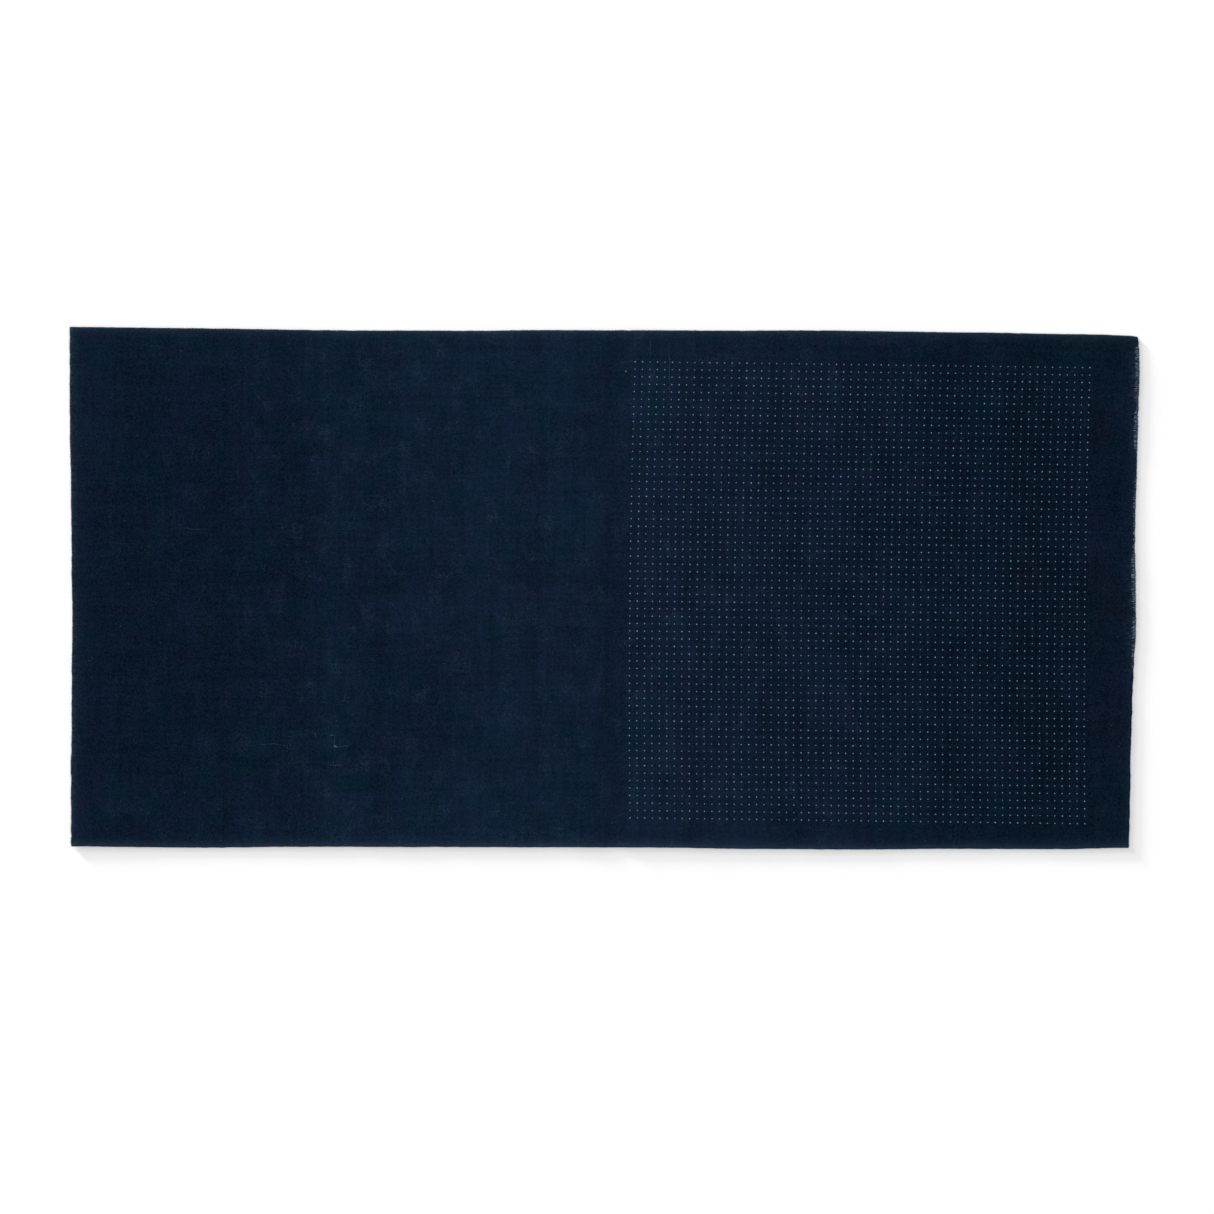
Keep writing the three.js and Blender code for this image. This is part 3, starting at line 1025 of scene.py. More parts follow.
# The painted glow of the selvedges is added to the lint here.
for axis, edge_place, reach, added in SELVEDGE_GLOW:
    fade = faded(axis, edge_place, reach)
    lint_and_painted_light = add_node(tree, "ShaderNodeMath", {"operation": "MULTIPLY_ADD"}, {0: fade, 1: added, 2: lint_and_painted_light})
opening = add_node(tree, "ShaderNodeMath", {"operation": "SUBTRACT"}, {0: opening, 1: OPENING_FROM})
opening = add_node(tree, "ShaderNodeMath", {"operation": "MAXIMUM"}, {0: opening, 1: 0.0})
fray_squared = add_node(tree, "ShaderNodeMath", {"operation": "MULTIPLY"}, {0: frayed, 1: frayed})
opening = add_node(tree, "ShaderNodeMath", {"operation": "MULTIPLY"}, {0: opening, 1: fray_squared})
ends_open = add_node(
    tree, "ShaderNodeMath", {"operation": "MULTIPLY_ADD"}, {0: opening, 1: OPENING_WEIGHT, 2: OPENING_LEAST}
)
for axis, edge_place, reach, added in CUT_ENDS:
    fade = faded(axis, edge_place, reach)
    opened = add_node(tree, "ShaderNodeMath", {"operation": "MULTIPLY"}, {0: fade, 1: ends_open})
    lint_and_painted_light = add_node(tree, "ShaderNodeMath", {"operation": "MULTIPLY_ADD"}, {0: opened, 1: added, 2: lint_and_painted_light})
    lost = -DYE_LOST * added
    dye_kept = add_node(tree, "ShaderNodeMath", {"operation": "MULTIPLY_ADD"}, {0: opened, 1: lost, 2: 1.0})
    dye_kept = add_node(tree, "ShaderNodeMath", {"operation": "MAXIMUM"}, {0: dye_kept, 1: 0.0})
    lightness = add_node(tree, "ShaderNodeMath", {"operation": "MULTIPLY"}, {0: lightness, 1: dye_kept})
print("edges", len(SELVEDGE_GLOW) + len(CUT_ENDS))

# %% [markdown]
# Dye and lint come together here. The gaps between yarns get painted shade, since little light comes
# back out of them, and the lint sits mostly on the crowns, which also paints a highlight on each
# float. Both changes turn round the mean height of the weave, so that they leave the mean colour as
# it is.

# %% Dyed yarn, with painted shade and highlight
GAP_SHADE = 0.7
CROWN_LINT_AND_HIGHLIGHT = 1.1
MEAN_HEIGHT = 0.53

lit = add_node(
    tree,
    "ShaderNodeMath",
    {"operation": "MULTIPLY_ADD"},
    {0: height, 1: GAP_SHADE, 2: 1 - GAP_SHADE * MEAN_HEIGHT},
)
# Partly real lint, partly a painted highlight on the crown of each yarn.
on_crown = add_node(
    tree,
    "ShaderNodeMath",
    {"operation": "MULTIPLY_ADD"},
    {0: height, 1: CROWN_LINT_AND_HIGHLIGHT, 2: 1 - CROWN_LINT_AND_HIGHLIGHT * MEAN_HEIGHT},
)
lint_and_painted_light = add_node(tree, "ShaderNodeMath", {"operation": "MULTIPLY"}, {0: lint_and_painted_light, 1: on_crown})
shade = add_node(tree, "ShaderNodeMath", {"operation": "MULTIPLY"}, {0: lightness, 1: lit})
shaded_dye = add_node(
    tree, "ShaderNodeVectorMath", {"operation": "SCALE"}, {0: dye.outputs[2], "Scale": shade}
)
added_lint_and_painted_light = add_node(
    tree, "ShaderNodeVectorMath", {"operation": "SCALE"}, {0: linear(LINT_COLOUR)[:3], "Scale": lint_and_painted_light}
)
total = add_node(tree, "ShaderNodeVectorMath", {"operation": "ADD"}, {0: shaded_dye, 1: added_lint_and_painted_light})
yarn_colour_with_painted_light = add_node(tree, "ShaderNodeVectorMath", {"operation": "MAXIMUM"}, {0: total, 1: (0.0, 0.0, 0.0)})
print("nodes so far", len(tree.nodes))

# %% [markdown]
# ## The printed dots
# The guide is printed in a pale washable ink, one small round dot every 5 mm. The ink sits on the
# crowns of the yarns and is uneven: some dots are full, some thin. In grid units the nearest dot is
# a rounding away. Its own random number sets how large that dot is and how strong. The twist of the
# fibres draws the ink a little in or out, so that no dot is a perfect disc.

# %% Dot mask
INK_COLOUR = "7b92aa"
DOT_RADIUS = 0.00045
DOT_SPREAD = 0.12
DOT_EDGE = 0.00018
INK_CREEP = 0.00022

smallest_dot = DOT_RADIUS * (1 - DOT_SPREAD)
largest_dot = DOT_RADIUS * (1 + DOT_SPREAD)
screen = add_node(tree, "ShaderNodeUVMap", {"uv_map": "Print"})
in_steps = add_node(
    tree, "ShaderNodeVectorMath", {"operation": "SCALE"}, {0: screen, "Scale": 1 / (DOT_PITCH * MM)}
)
half_up = add_node(tree, "ShaderNodeVectorMath", {"operation": "ADD"}, {0: in_steps, 1: (0.5, 0.5, 0.0)})
nearest = add_node(tree, "ShaderNodeVectorMath", {"operation": "FLOOR"}, {0: half_up})
chance_of_dot = add_node(tree, "ShaderNodeTexWhiteNoise", {"noise_dimensions": "2D"}, {"Vector": nearest})
to_dot = add_node(tree, "ShaderNodeVectorMath", {"operation": "DISTANCE"}, {0: in_steps, 1: nearest})
to_dot_m = add_node(
    tree, "ShaderNodeMath", {"operation": "MULTIPLY"}, {0: to_dot.outputs["Value"], 1: DOT_PITCH * MM}
)
to_dot_m = weighted(twist, INK_CREEP, to_dot_m)
radius = add_node(
    tree, "ShaderNodeMapRange", {}, {0: chance_of_dot, 1: 0.0, 2: 1.0, 3: smallest_dot, 4: largest_dot}
)
inner = add_node(tree, "ShaderNodeMath", {"operation": "SUBTRACT"}, {0: radius, 1: DOT_EDGE})
disc = add_node(
    tree,
    "ShaderNodeMapRange",
    {"interpolation_type": "SMOOTHSTEP"},
    {0: to_dot_m, 1: inner, 2: radius, 3: 1.0, 4: 0.0},
)
print("dots on the cloth", DOT_COUNT**2)

# %% [markdown]
# A dot only counts inside the printed square, so the rounded grid place is held to its first and
# last dot: outside, holding it changes it, and the mask is off. In the gaps between the yarns the
# cloth takes up less ink.

# %% Dots inside the printed square only
INK_LEAST = 0.62
INK_IN_GAPS = 0.45
INKED_FROM = 0.5

last_dot = float(DOT_COUNT - 1)
held = add_node(
    tree, "ShaderNodeVectorMath", {"operation": "MINIMUM"}, {0: nearest, 1: (last_dot, last_dot, 0.0)}
)
held = add_node(tree, "ShaderNodeVectorMath", {"operation": "MAXIMUM"}, {0: held, 1: (0.0, 0.0, 0.0)})
off_by = add_node(tree, "ShaderNodeVectorMath", {"operation": "DISTANCE"}, {0: nearest, 1: held})
on_grid = add_node(tree, "ShaderNodeMath", {"operation": "LESS_THAN"}, {0: off_by.outputs["Value"], 1: 0.5})
strength = add_node(
    tree,
    "ShaderNodeMapRange",
    {},
    {0: chance_of_dot.outputs["Color"], 1: 0.0, 2: 1.0, 3: INK_LEAST, 4: 1.0},
)
taken_up = add_node(
    tree, "ShaderNodeMapRange", {}, {0: height, 1: 0.0, 2: INKED_FROM, 3: INK_IN_GAPS, 4: 1.0}
)
mask = disc
for factor in (on_grid, strength, taken_up):
    mask = add_node(tree, "ShaderNodeMath", {"operation": "MULTIPLY"}, {0: mask, 1: factor})
inked = add_node(
    tree, "ShaderNodeMix", {"data_type": "RGBA"}, {"Factor": mask, 6: yarn_colour_with_painted_light, 7: linear(INK_COLOUR)}
)
print("ink", INK_COLOUR)

# %% [markdown]
# ## The cloth's surface
# Dyed cotton is matt. Its fibres have an index of about 1.5, but a woven face traps most of the
# gloss between its yarns, so the specular level is low, and a trace of bluish sheen stands for the
# fuzz. The weave and the twist of its fibres drive a bump, since they are too fine for the mesh.

# %% Finish the cotton
BUMP_HEIGHT = 0.00012
BUMP_STRENGTH = 0.5
TWIST_HEIGHT = 0.35
COTTON_ROUGHNESS = 0.95
COTTON_IOR = 1.5
SPECULAR_LEVEL = 0.01
SHEEN_WEIGHT = 0.01
SHEEN_ROUGHNESS = 0.6
SHEEN_TINT = "8fa3b8"

twisted_height = add_node(
    tree, "ShaderNodeMath", {"operation": "MULTIPLY_ADD"}, {0: twist, 1: TWIST_HEIGHT, 2: height}
)
bump = add_node(
    tree,
    "ShaderNodeBump",
    {},
    {"Strength": BUMP_STRENGTH, "Distance": BUMP_HEIGHT, "Height": twisted_height},
)
tree.links.new(bump.outputs[0], shader.inputs["Normal"])
tree.links.new(inked.outputs[2], shader.inputs["Base Color"])
shader.inputs["Roughness"].default_value = COTTON_ROUGHNESS
shader.inputs["IOR"].default_value = COTTON_IOR
shader.inputs["Specular IOR Level"].default_value = SPECULAR_LEVEL
shader.inputs["Sheen Weight"].default_value = SHEEN_WEIGHT
shader.inputs["Sheen Roughness"].default_value = SHEEN_ROUGHNESS
shader.inputs["Sheen Tint"].default_value = linear(SHEEN_TINT)
sheet_mesh.materials.append(cotton)
print("cotton nodes", len(tree.nodes))

# %% [markdown]
# ## Yarn ends, weft turns and slubs
# What the photo shows at the very edges is thread: broken yarn ends where the cloth was cut, and the
# turns of the weft along the selvedges. They stand free of the sheet, so they are geometry.
# There are nearly three thousand of them, all alike but for chance, which is work for Geometry
# Nodes: a tree is written once, as a recipe with named inputs, and grows its yarns along whatever
# line it is given. Every tree starts with its inputs, and ends by thickening lines to closed yarns
# and making them real geometry, so two functions do that. A third gives each yarn a random number.


# %% Start and finish a Geometry Nodes tree
def start_tree(name, inputs):
    """A new tree with one geometry input and output, and further float or integer inputs."""
    nodes = bpy.data.node_groups.new(name, "GeometryNodeTree")
    nodes.interface.new_socket("Geometry", in_out="INPUT", socket_type="NodeSocketGeometry")
    nodes.interface.new_socket("Geometry", in_out="OUTPUT", socket_type="NodeSocketGeometry")
    for label, kind in inputs.items():
        nodes.interface.new_socket(label, in_out="INPUT", socket_type=kind)
    return nodes, nodes.nodes.new("NodeGroupInput"), nodes.nodes.new("NodeGroupOutput")


def chance_on_each(nodes, instances, label, low, high, seed):
    """Stores a random number between two values on each instance."""
    chance = add_node(nodes, "FunctionNodeRandomValue", {}, {2: low, 3: high, "Seed": seed})
    return add_node(
        nodes,
        "GeometryNodeStoreNamedAttribute",
        {"data_type": "FLOAT", "domain": "INSTANCE"},
        {0: instances, "Name": label, "Value": chance.outputs[1]},
    )


def finish_tree(nodes, group_out, lines, section, radius, material):
    """Makes lines smooth closed yarns of one section and material, and hands them out."""
    yarns = add_node(
        nodes, "GeometryNodeCurveToMesh", {}, {0: lines, 1: section, "Scale": radius, "Fill Caps": True}
    )
    smooth = add_node(nodes, "GeometryNodeSetShadeSmooth", {}, {0: yarns})
    real = add_node(nodes, "GeometryNodeRealizeInstances", {}, {0: smooth})
    dressed = add_node(nodes, "GeometryNodeSetMaterial", {}, {0: real, "Material": material})
    nodes.links.new(dressed.outputs[0], group_out.inputs[0])


print("tree helpers ready")

# %% [markdown]
# A tree runs as a modifier on a mesh of bare lines. Attributes on the lines, such as "Fray", say
# what differs along them, and the modifier's inputs say what doesn't. The result is then kept as a
# plain mesh, and the modifier goes, because the export wants real faces.


# %% Run a tree on lines
def grow(name, nodes, lines, attributes, settings):
    """Runs a tree on polylines, each a list of points in millimetres, and returns the object."""
    ends = np.cumsum([len(line) for line in lines])
    line_points = np.concatenate(lines) * MM
    edges = [(place, place + 1) for place in range(len(line_points) - 1) if place + 1 not in ends]
    mesh = bpy.data.meshes.new(name)
    mesh.from_pydata(line_points.tolist(), edges, [])
    for label, values in attributes.items():
        attribute = mesh.attributes.new(label, "FLOAT", "POINT")
        attribute.data.foreach_set("value", values.astype(np.float32))
    grown = bpy.data.objects.new(name, mesh)
    scene.collection.objects.link(grown)
    modifier = grown.modifiers.new("grow", "NODES")
    modifier.node_group = nodes
    for socket in nodes.interface.items_tree:
        if socket.in_out == "INPUT" and socket.name in settings:
            modifier[socket.identifier] = settings[socket.name]
    depsgraph = bpy.context.evaluated_depsgraph_get()
    grown_mesh = bpy.data.meshes.new_from_object(grown.evaluated_get(depsgraph), depsgraph=depsgraph)
    grown.modifiers.clear()
    grown.data = grown_mesh
    grown_mesh.name = name
    print(name, "faces", len(grown_mesh.polygons))
    return grown


print("grow ready")

# %% [markdown]
# ## Frayed cotton yarn
# The free yarns are the same dyed cotton, but broken fibres scatter more light, so they look paler
# and greyer. Each has its own tone, which its tree stores as "Pale", and a noise the size of a tuft
# of fibres makes it uneven, in tone and in height.

# %% Yarn material
YARN_DARK = "162536"
YARN_PALE = "687a82"
FIBRE_LENGTH = 0.00025
FIBRE_CONTRAST = 0.5
FIBRE_HEIGHT = 0.00004

yarn_cotton = bpy.data.materials.new("frayed_indigo_cotton_yarn")
yarn_cotton.use_nodes = True
yarn_tree = yarn_cotton.node_tree
yarn_shader = yarn_tree.nodes["Principled BSDF"]
pale = add_node(yarn_tree, "ShaderNodeAttribute", {"attribute_name": "Pale"})
on_yarn = add_node(yarn_tree, "ShaderNodeTexCoord")
yarn_fibres = add_node(
    yarn_tree,
    "ShaderNodeTexNoise",
    {},
    {"Vector": on_yarn.outputs["Object"], "Scale": 1 / FIBRE_LENGTH, "Detail": CRISP},
)
paleness = add_node(yarn_tree, "ShaderNodeMath", {"operation": "SUBTRACT"}, {0: yarn_fibres, 1: 0.5})
paleness = add_node(
    yarn_tree,
    "ShaderNodeMath",
    {"operation": "MULTIPLY_ADD"},
    {0: paleness, 1: FIBRE_CONTRAST, 2: pale.outputs["Fac"]},
)
yarn_colour = add_node(
    yarn_tree,
    "ShaderNodeMix",
    {"data_type": "RGBA"},
    {"Factor": paleness, 6: linear(YARN_DARK), 7: linear(YARN_PALE)},
)
yarn_bump = add_node(
    yarn_tree,
    "ShaderNodeBump",
    {},
    {"Strength": BUMP_STRENGTH, "Distance": FIBRE_HEIGHT, "Height": yarn_fibres},
)
yarn_tree.links.new(yarn_bump.outputs[0], yarn_shader.inputs["Normal"])
yarn_tree.links.new(yarn_colour.outputs[2], yarn_shader.inputs["Base Color"])
yarn_shader.inputs["Roughness"].default_value = COTTON_ROUGHNESS
yarn_shader.inputs["Specular IOR Level"].default_value = SPECULAR_LEVEL
yarn_shader.inputs["Sheen Weight"].default_value = SHEEN_WEIGHT
print("yarn from", YARN_DARK, "to", YARN_PALE)

# %% [markdown]
# ## Broken yarn ends
# At a cut end the warp yarns simply stop. The last weft yarns have worked loose, so a couple of
# millimetres of warp lie bare, each end splayed a little and fluffed out. The tree sets points along
# the outline and lays one strand at each: a low arch that starts in the weave, a yarn's length in
# from the cut, rises out of the face and comes down just past the cut.

# %% Frayed ends: the points and one strand
# Start, middle and end of a strand. X is in lengths of the yarn, past the cut where it is over 0,
# and the rest in metres.
STRAND_CURVE = [
    (-1.0, 0.0, 0.00010),
    (-0.2, 0.0, 0.00050),
    (0.13, 0.0, -0.00015),
]
STRAND_POINTS = 7

fray_tree, fray_in, fray_out = start_tree(
    "frayed_end",
    {
        "Yarn Count": "NodeSocketInt",
        "Yarn Length": "NodeSocketFloat",
        "Yarn Radius": "NodeSocketFloat",
        "Turn": "NodeSocketFloat",
        "Splay": "NodeSocketFloat",
        "Seed": "NodeSocketInt",
    },
)
outline = add_node(fray_tree, "GeometryNodeMeshToCurve", {}, {0: fray_in.outputs["Geometry"]})
spread = add_node(
    fray_tree, "GeometryNodeResampleCurve", {}, {0: outline, "Count": fray_in.outputs["Yarn Count"]}
)
strand_start, strand_middle, strand_end = STRAND_CURVE
strand = add_node(
    fray_tree,
    "GeometryNodeCurveQuadraticBezier",
    {},
    {"Resolution": STRAND_POINTS, "Start": strand_start, "Middle": strand_middle, "End": strand_end},
)
print("points on a strand", STRAND_POINTS)

# %% [markdown]
# "Fray" is how badly that stretch of the edge has come apart, from the tables above. It scales the
# length of the strands, and chance makes each one shorter still. Below two millimetres a strand
# arches less too, in proportion.

# %% Frayed ends: a strand at each point
SHORTEST_SHARE = 0.35
FULL_ARCH_FROM = 0.0020
END_PALE_SEED = 7

end_seed = fray_in.outputs["Seed"]
fray = add_node(fray_tree, "GeometryNodeInputNamedAttribute", {"data_type": "FLOAT"}, {"Name": "Fray"})
share = add_node(fray_tree, "FunctionNodeRandomValue", {}, {2: SHORTEST_SHARE, 3: 1.0, "Seed": end_seed})
length = add_node(fray_tree, "ShaderNodeMath", {"operation": "MULTIPLY"}, {0: share.outputs[1], 1: fray})
length = add_node(
    fray_tree, "ShaderNodeMath", {"operation": "MULTIPLY"}, {0: length, 1: fray_in.outputs["Yarn Length"]}
)
arch = add_node(fray_tree, "ShaderNodeMath", {"operation": "DIVIDE"}, {0: length, 1: FULL_ARCH_FROM})
arch = add_node(fray_tree, "ShaderNodeMath", {"operation": "MINIMUM"}, {0: arch, 1: 1.0})
size = add_node(fray_tree, "ShaderNodeCombineXYZ", {}, {0: length, 1: 1.0, 2: arch})
turned = add_node(fray_tree, "ShaderNodeCombineXYZ", {}, {2: fray_in.outputs["Turn"]})
rotation = add_node(fray_tree, "FunctionNodeEulerToRotation", {}, {0: turned})
strands = add_node(
    fray_tree,
    "GeometryNodeInstanceOnPoints",
    {},
    {0: spread, "Instance": strand, "Rotation": rotation, "Scale": size},
)
next_seed = add_node(fray_tree, "ShaderNodeMath", {"operation": "ADD"}, {0: end_seed, 1: 1.0})
strands = chance_on_each(fray_tree, strands, "Pale", 0.0, 1.0, END_PALE_SEED)
strands = chance_on_each(fray_tree, strands, "Lean", -1.0, 1.0, next_seed)
strands = add_node(fray_tree, "GeometryNodeRealizeInstances", {}, {0: strands})
print("fray nodes so far", len(fray_tree.nodes))

# %% [markdown]
# A strand is held where it leaves the weave and free at its broken end. A noise bends it and its own
# "Lean" splays it to one side, both growing from nothing at the root, and the yarn thickens outwards
# as its twist opens.

# %% Frayed ends: bend and thicken
# Metres of bend along the cloth, across it and upwards, and how many bends there are to a metre
BEND = (0.00024, 0.0012, 0.00018)
BENDS_TO_A_METRE = 700.0
FREEDOM_POWER = 1.5
ROOT_THICKNESS = 0.75
STRAND_SIDES = 5

here = add_node(fray_tree, "GeometryNodeInputPosition")
bend_noise = add_node(
    fray_tree, "ShaderNodeTexNoise", {}, {"Vector": here, "Scale": BENDS_TO_A_METRE, "Detail": 1.0}
)
bend = add_node(
    fray_tree,
    "ShaderNodeVectorMath",
    {"operation": "SUBTRACT"},
    {0: bend_noise.outputs["Color"], 1: (0.5, 0.5, 0.5)},
)
bend = add_node(fray_tree, "ShaderNodeVectorMath", {"operation": "MULTIPLY"}, {0: bend, 1: BEND})
lean = add_node(fray_tree, "GeometryNodeInputNamedAttribute", {"data_type": "FLOAT"}, {"Name": "Lean"})
sideways = add_node(
    fray_tree, "ShaderNodeMath", {"operation": "MULTIPLY"}, {0: lean, 1: fray_in.outputs["Splay"]}
)
splay = add_node(fray_tree, "ShaderNodeCombineXYZ", {}, {1: sideways})
bend = add_node(fray_tree, "ShaderNodeVectorMath", {"operation": "ADD"}, {0: bend, 1: splay})
along = add_node(fray_tree, "GeometryNodeSplineParameter")
freedom = add_node(
    fray_tree, "ShaderNodeMath", {"operation": "POWER"}, {0: along.outputs["Factor"], 1: FREEDOM_POWER}
)
bend = add_node(fray_tree, "ShaderNodeVectorMath", {"operation": "SCALE"}, {0: bend, "Scale": freedom})
strands = add_node(fray_tree, "GeometryNodeSetPosition", {}, {0: strands, "Offset": bend})
fluff = add_node(
    fray_tree,
    "ShaderNodeMapRange",
    {},
    {0: along.outputs["Factor"], 1: 0.0, 2: 1.0, 3: ROOT_THICKNESS, 4: 1.0},
)
thickness = add_node(
    fray_tree, "ShaderNodeMath", {"operation": "MULTIPLY"}, {0: fluff, 1: fray_in.outputs["Yarn Radius"]}
)
round_section = {"Resolution": STRAND_SIDES, "Radius": 1.0}
section = add_node(fray_tree, "GeometryNodeCurvePrimitiveCircle", {}, round_section)
finish_tree(fray_tree, fray_out, strands, section, thickness, yarn_cotton)
print("fray nodes", len(fray_tree.nodes))

# %% [markdown]
# The two ends run the same tree, and the left one, which is cut cleaner, gets shorter yarns. The
# line that they grow from is the outline itself, just over the middle of the sheet's thickness.

# %% Grow the frayed ends
EDGE_LIFT = 0.32
END_YARNS = 690
END_STATIONS = 180
END_MARGIN = 0.004
# Columns: name, share of the length where it lies, turn, longest yarn, its radius and its splay
# in metres, seed
FRAYED_ENDS = [
    ("right_frayed_end", 1.0, 0.0, 0.0036, 0.00020, 0.0004, 3),
    ("left_frayed_end", 0.0, math.pi, 0.0022, 0.00018, 0.0003, 9),
]


def edge_line(share_x, share_y):
    """Points along one edge, just over mid height of the sheet, in millimetres."""
    along_edge = uneven_points(share_x, share_y)
    return np.column_stack([along_edge, relief(along_edge[:, 0], along_edge[:, 1]) + EDGE_LIFT])


free_yarns = []
end_shares = np.linspace(END_MARGIN, 1 - END_MARGIN, END_STATIONS)
for name, place, turn, longest, yarn_radius, splay_width, seed in FRAYED_ENDS:
    end_line = edge_line(np.full(END_STATIONS, place), end_shares)
    end_settings = {
        "Yarn Count": END_YARNS,
        "Yarn Length": longest,
        "Yarn Radius": yarn_radius,
        "Turn": turn,
        "Splay": splay_width,
        "Seed": seed,
    }
    end_fray = {"Fray": fray_at(end_line[:, 0], end_line[:, 1])}
    free_yarns.append(grow(name, fray_tree, [end_line], end_fray, end_settings))

# %% [markdown]
# ## Selvedge turns
# Along a selvedge the weft yarn turns back into the cloth every second pick, which on the real cloth
# is every millimetre, and each turn is a small loop round the outermost warp yarn. The tree lays a
# bent yarn at every turn: out of the sheet, round and back in.

# %% Tree for the selvedge turns
# The loop's half width, reach, rise and radius are in metres
TURN_HALF_WIDTH = 0.00025
TURN_REACH = 0.00050
TURN_RISE = 0.0001
TURN_RADIUS = 0.00016
TURN_POINTS = 5
TURN_SIZES = (0.7, 1.25)
PALEST_TURN = 0.45
TURN_PALE_SEED = 5

turn_tree, turn_in, turn_out = start_tree(
    "selvedge_turns", {"Turn Count": "NodeSocketInt", "Turn": "NodeSocketFloat", "Seed": "NodeSocketInt"}
)
selvedge = add_node(turn_tree, "GeometryNodeMeshToCurve", {}, {0: turn_in.outputs["Geometry"]})
selvedge = add_node(
    turn_tree, "GeometryNodeResampleCurve", {}, {0: selvedge, "Count": turn_in.outputs["Turn Count"]}
)
loop = add_node(
    turn_tree,
    "GeometryNodeCurveQuadraticBezier",
    {},
    {
        "Resolution": TURN_POINTS,
        "Start": (-TURN_REACH, -TURN_HALF_WIDTH, TURN_RISE),
        "Middle": (TURN_REACH, 0.0, 0.0),
        "End": (-TURN_REACH, TURN_HALF_WIDTH, -TURN_RISE),
    },
)
turned = add_node(turn_tree, "ShaderNodeCombineXYZ", {}, {2: turn_in.outputs["Turn"]})
rotation = add_node(turn_tree, "FunctionNodeEulerToRotation", {}, {0: turned})
smallest_turn, largest_turn = TURN_SIZES
chance_of_size = add_node(
    turn_tree,
    "FunctionNodeRandomValue",
    {},
    {2: smallest_turn, 3: largest_turn, "Seed": turn_in.outputs["Seed"]},
)
loops = add_node(
    turn_tree,
    "GeometryNodeInstanceOnPoints",
    {},
    {0: selvedge, "Instance": loop, "Rotation": rotation, "Scale": chance_of_size.outputs[1]},
)
loops = chance_on_each(turn_tree, loops, "Pale", 0.0, PALEST_TURN, TURN_PALE_SEED)
loops = add_node(turn_tree, "GeometryNodeRealizeInstances", {}, {0: loops})
section = add_node(turn_tree, "GeometryNodeCurvePrimitiveCircle", {}, round_section)
finish_tree(turn_tree, turn_out, loops, section, TURN_RADIUS, yarn_cotton)
print("turn nodes", len(turn_tree.nodes))

# %% [markdown]
# Both selvedges run that tree too. It makes its loops along X, so each selvedge turns them to its
# own side.

# %% Grow the selvedge turns
TURN_PITCH = 1.0
SIDE_STATIONS = 360
SIDE_MARGIN = 0.001
# Columns: name, share of the width where it lies, turn, seed
SELVEDGE_TURNS = [
    ("upper_selvedge_turns", 1.0, math.pi / 2, 13),
    ("lower_selvedge_turns", 0.0, -math.pi / 2, 14),
]

turn_count = round(FLAT_LENGTH / MM / TURN_PITCH)
side_shares = np.linspace(SIDE_MARGIN, 1 - SIDE_MARGIN, SIDE_STATIONS)
for name, place, turn, seed in SELVEDGE_TURNS:
    side_line = edge_line(side_shares, np.full(SIDE_STATIONS, place))
    side_settings = {"Turn Count": turn_count, "Turn": turn, "Seed": seed}
    free_yarns.append(grow(name, turn_tree, [side_line], {}, side_settings))

# %% [markdown]
# ## Slubs and tufts
# A slub is a stretch where the spinner let the yarn run thick. It is woven in like any other yarn, so
# it shows at every other crossing only, as a row of small pale floats. A tuft is a short bit of loose
# fibre that lies on top. Each follows its own yarn: along the width for weft, along the length for
# warp. They have no pattern of their own, so a short table lists them one by one.

# %% Places of the slubs and tufts
# Columns: x and y where it starts, x and y where it ends, half width, all in millimetres,
# paleness, and 1 for a slub in the weave or 0 for a tuft on top of it
SLUBS = [
    (43.4, 166, 43.8, 126, 0.42, 0.05, 1),
    (30.7, 168, 30.3, 153, 0.40, 0.03, 1),
    (-240, -105.2, -204, -105.6, 0.30, 0.05, 1),
    (-186, -106.2, -170, -106.4, 0.32, 0.08, 1),
    (-181, -96, -180.4, -112, 0.32, 0.06, 1),
    (-180.9, -105.2, -178.4, -106.5, 0.42, 0.55, 0),
    (-184.8, -98.6, -181.6, -98.6, 0.30, 0.14, 0),
    (-193.3, -96.6, -193.3, -100.4, 0.28, 0.10, 0),
    (-187.0, -118.5, -174.0, -118.7, 0.30, 0.12, 1),
    (-175.5, -105.6, -170.0, -105.8, 0.30, 0.12, 1),
    (14.0, 146.2, 15.2, 144.6, 0.38, 0.50, 0),
    (-290, 40, -262, 39.7, 0.28, 0.05, 1),
    (210, 62, 236, 61.6, 0.28, 0.05, 1),
    (169.2, -84, 169.0, -106, 0.28, 0.05, 1),
]
SLUB_STATIONS = 24
SLUB_SINK = 0.05

slub_paths = []
for start_x, start_y, end_x, end_y, _, _, in_weave in SLUBS:
    path_x = np.linspace(start_x, end_x, SLUB_STATIONS)
    path_y = np.linspace(start_y, end_y, SLUB_STATIONS)
    path_z = relief(path_x, path_y) + SHEET_THICKNESS - SLUB_SINK * in_weave
    slub_paths.append(np.column_stack([path_x, path_y, path_z]))
half_widths, palenesses, woven_in = np.array([row[4:] for row in SLUBS]).T
slub_attributes = {
    "Radius": np.repeat(half_widths, SLUB_STATIONS) * MM,
    "Pale": np.repeat(palenesses, SLUB_STATIONS),
    "Woven": np.repeat(woven_in, SLUB_STATIONS),
}
print("slubs", int(woven_in.sum()), "and tufts", int((1 - woven_in).sum()))

# %% [markdown]
# The tree first cuts each path into steps much shorter than a crossing. A noise makes it drift, and a
# slub also rises and dips as a sine, half a wave to a crossing, which is the weave's own pitch.

# %% Slubs: through the weave
# The first three are in metres, and the last is how much of the drift goes upwards
SLUB_STEP = 0.0002
SLUB_RISE = 0.00009
DRIFT_LENGTH = 0.011
DRIFT_UPWARDS = 0.01

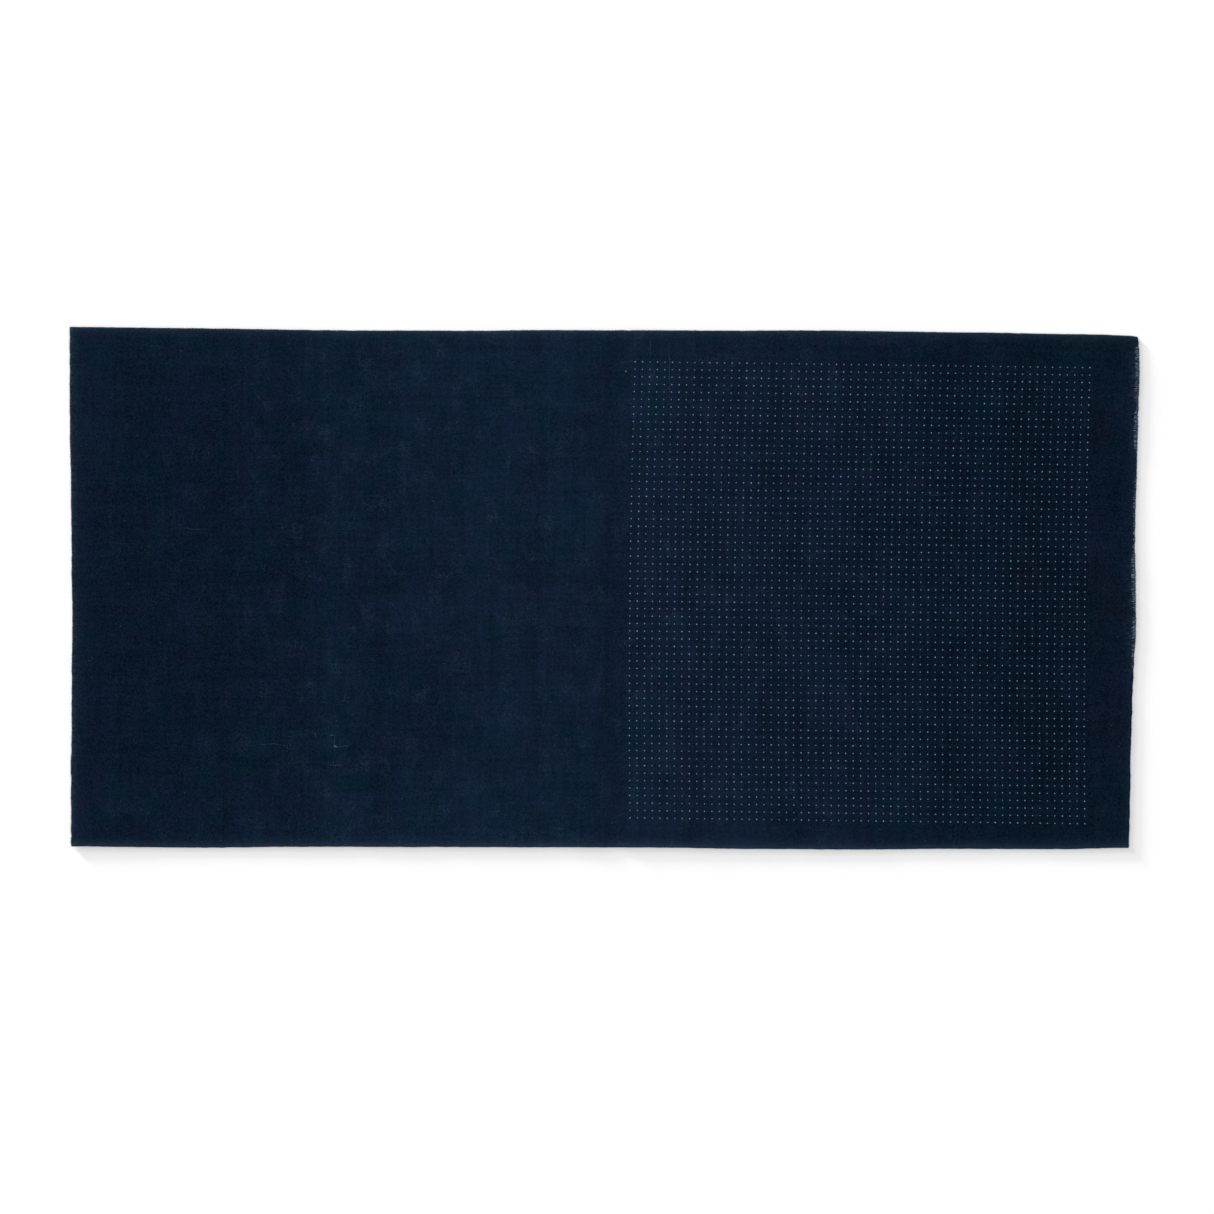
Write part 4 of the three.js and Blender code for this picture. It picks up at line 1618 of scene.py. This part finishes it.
slub_tree, slub_in, slub_out = start_tree("slubs", {"Wander": "NodeSocketFloat"})
slub_lines = add_node(slub_tree, "GeometryNodeMeshToCurve", {}, {0: slub_in.outputs["Geometry"]})
slub_lines = add_node(
    slub_tree, "GeometryNodeResampleCurve", {"mode": "LENGTH"}, {0: slub_lines, "Length": SLUB_STEP}
)
here = add_node(slub_tree, "GeometryNodeInputPosition")
drift = add_node(
    slub_tree, "ShaderNodeTexNoise", {}, {"Vector": here, "Scale": 1 / DRIFT_LENGTH, "Detail": 1.0}
)
drift = add_node(
    slub_tree,
    "ShaderNodeVectorMath",
    {"operation": "SUBTRACT"},
    {0: drift.outputs["Color"], 1: (0.5, 0.5, 0.5)},
)
drift = add_node(
    slub_tree, "ShaderNodeVectorMath", {"operation": "MULTIPLY"}, {0: drift, 1: (1.0, 1.0, DRIFT_UPWARDS)}
)
drift = add_node(
    slub_tree,
    "ShaderNodeVectorMath",
    {"operation": "SCALE"},
    {0: drift, "Scale": slub_in.outputs["Wander"]},
)
along = add_node(slub_tree, "GeometryNodeSplineParameter")
waves = add_node(
    slub_tree,
    "ShaderNodeMath",
    {"operation": "MULTIPLY"},
    {0: along.outputs["Length"], 1: math.pi / YARN_PITCH},
)
over_and_under = add_node(slub_tree, "ShaderNodeMath", {"operation": "SINE"}, {0: waves})
woven_here = add_node(
    slub_tree, "GeometryNodeInputNamedAttribute", {"data_type": "FLOAT"}, {"Name": "Woven"}
)
rise = add_node(slub_tree, "ShaderNodeMath", {"operation": "MULTIPLY"}, {0: over_and_under, 1: woven_here})
rise = add_node(slub_tree, "ShaderNodeMath", {"operation": "MULTIPLY"}, {0: rise, 1: SLUB_RISE})
upwards = add_node(slub_tree, "ShaderNodeCombineXYZ", {}, {2: rise})
slub_shift = add_node(slub_tree, "ShaderNodeVectorMath", {"operation": "ADD"}, {0: drift, 1: upwards})
slub_lines = add_node(slub_tree, "GeometryNodeSetPosition", {}, {0: slub_lines, "Offset": slub_shift})
print("slub nodes so far", len(slub_tree.nodes))

# %% [markdown]
# Its thickness swells from almost nothing to the half width in the table and back again. The tube's
# section is a flat oval, kept upright, because a soft yarn is pressed flat by the weave.

# %% Slubs: swell, and grow
SLUB_TIP = 0.08
SLUB_SIDES = 8
SLUB_FLATNESS = 0.26
SLUB_WANDER = 0.004

half_turn = add_node(
    slub_tree, "ShaderNodeMath", {"operation": "MULTIPLY"}, {0: along.outputs["Factor"], 1: math.pi}
)
swell = add_node(slub_tree, "ShaderNodeMath", {"operation": "SINE"}, {0: half_turn})
swell = add_node(slub_tree, "ShaderNodeMath", {"operation": "MAXIMUM"}, {0: swell, 1: SLUB_TIP})
slub_radius = add_node(
    slub_tree, "GeometryNodeInputNamedAttribute", {"data_type": "FLOAT"}, {"Name": "Radius"}
)
swell = add_node(slub_tree, "ShaderNodeMath", {"operation": "MULTIPLY"}, {0: swell, 1: slub_radius})
slub_lines = add_node(slub_tree, "GeometryNodeSetCurveNormal", {"mode": "Z_UP"}, {0: slub_lines})
flattened = (1.0, SLUB_FLATNESS, 1.0)
section = add_node(
    slub_tree, "GeometryNodeCurvePrimitiveCircle", {}, {"Resolution": SLUB_SIDES, "Radius": 1.0}
)
section = add_node(slub_tree, "GeometryNodeTransform", {}, {0: section, "Scale": flattened})
finish_tree(slub_tree, slub_out, slub_lines, section, swell, yarn_cotton)
free_yarns.append(grow("slub_yarns", slub_tree, slub_paths, slub_attributes, {"Wander": SLUB_WANDER}))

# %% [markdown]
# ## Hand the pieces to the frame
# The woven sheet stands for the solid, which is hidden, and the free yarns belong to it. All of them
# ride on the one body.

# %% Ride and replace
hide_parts("cloth")
for piece in [sheet, *free_yarns]:
    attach(piece, "root")
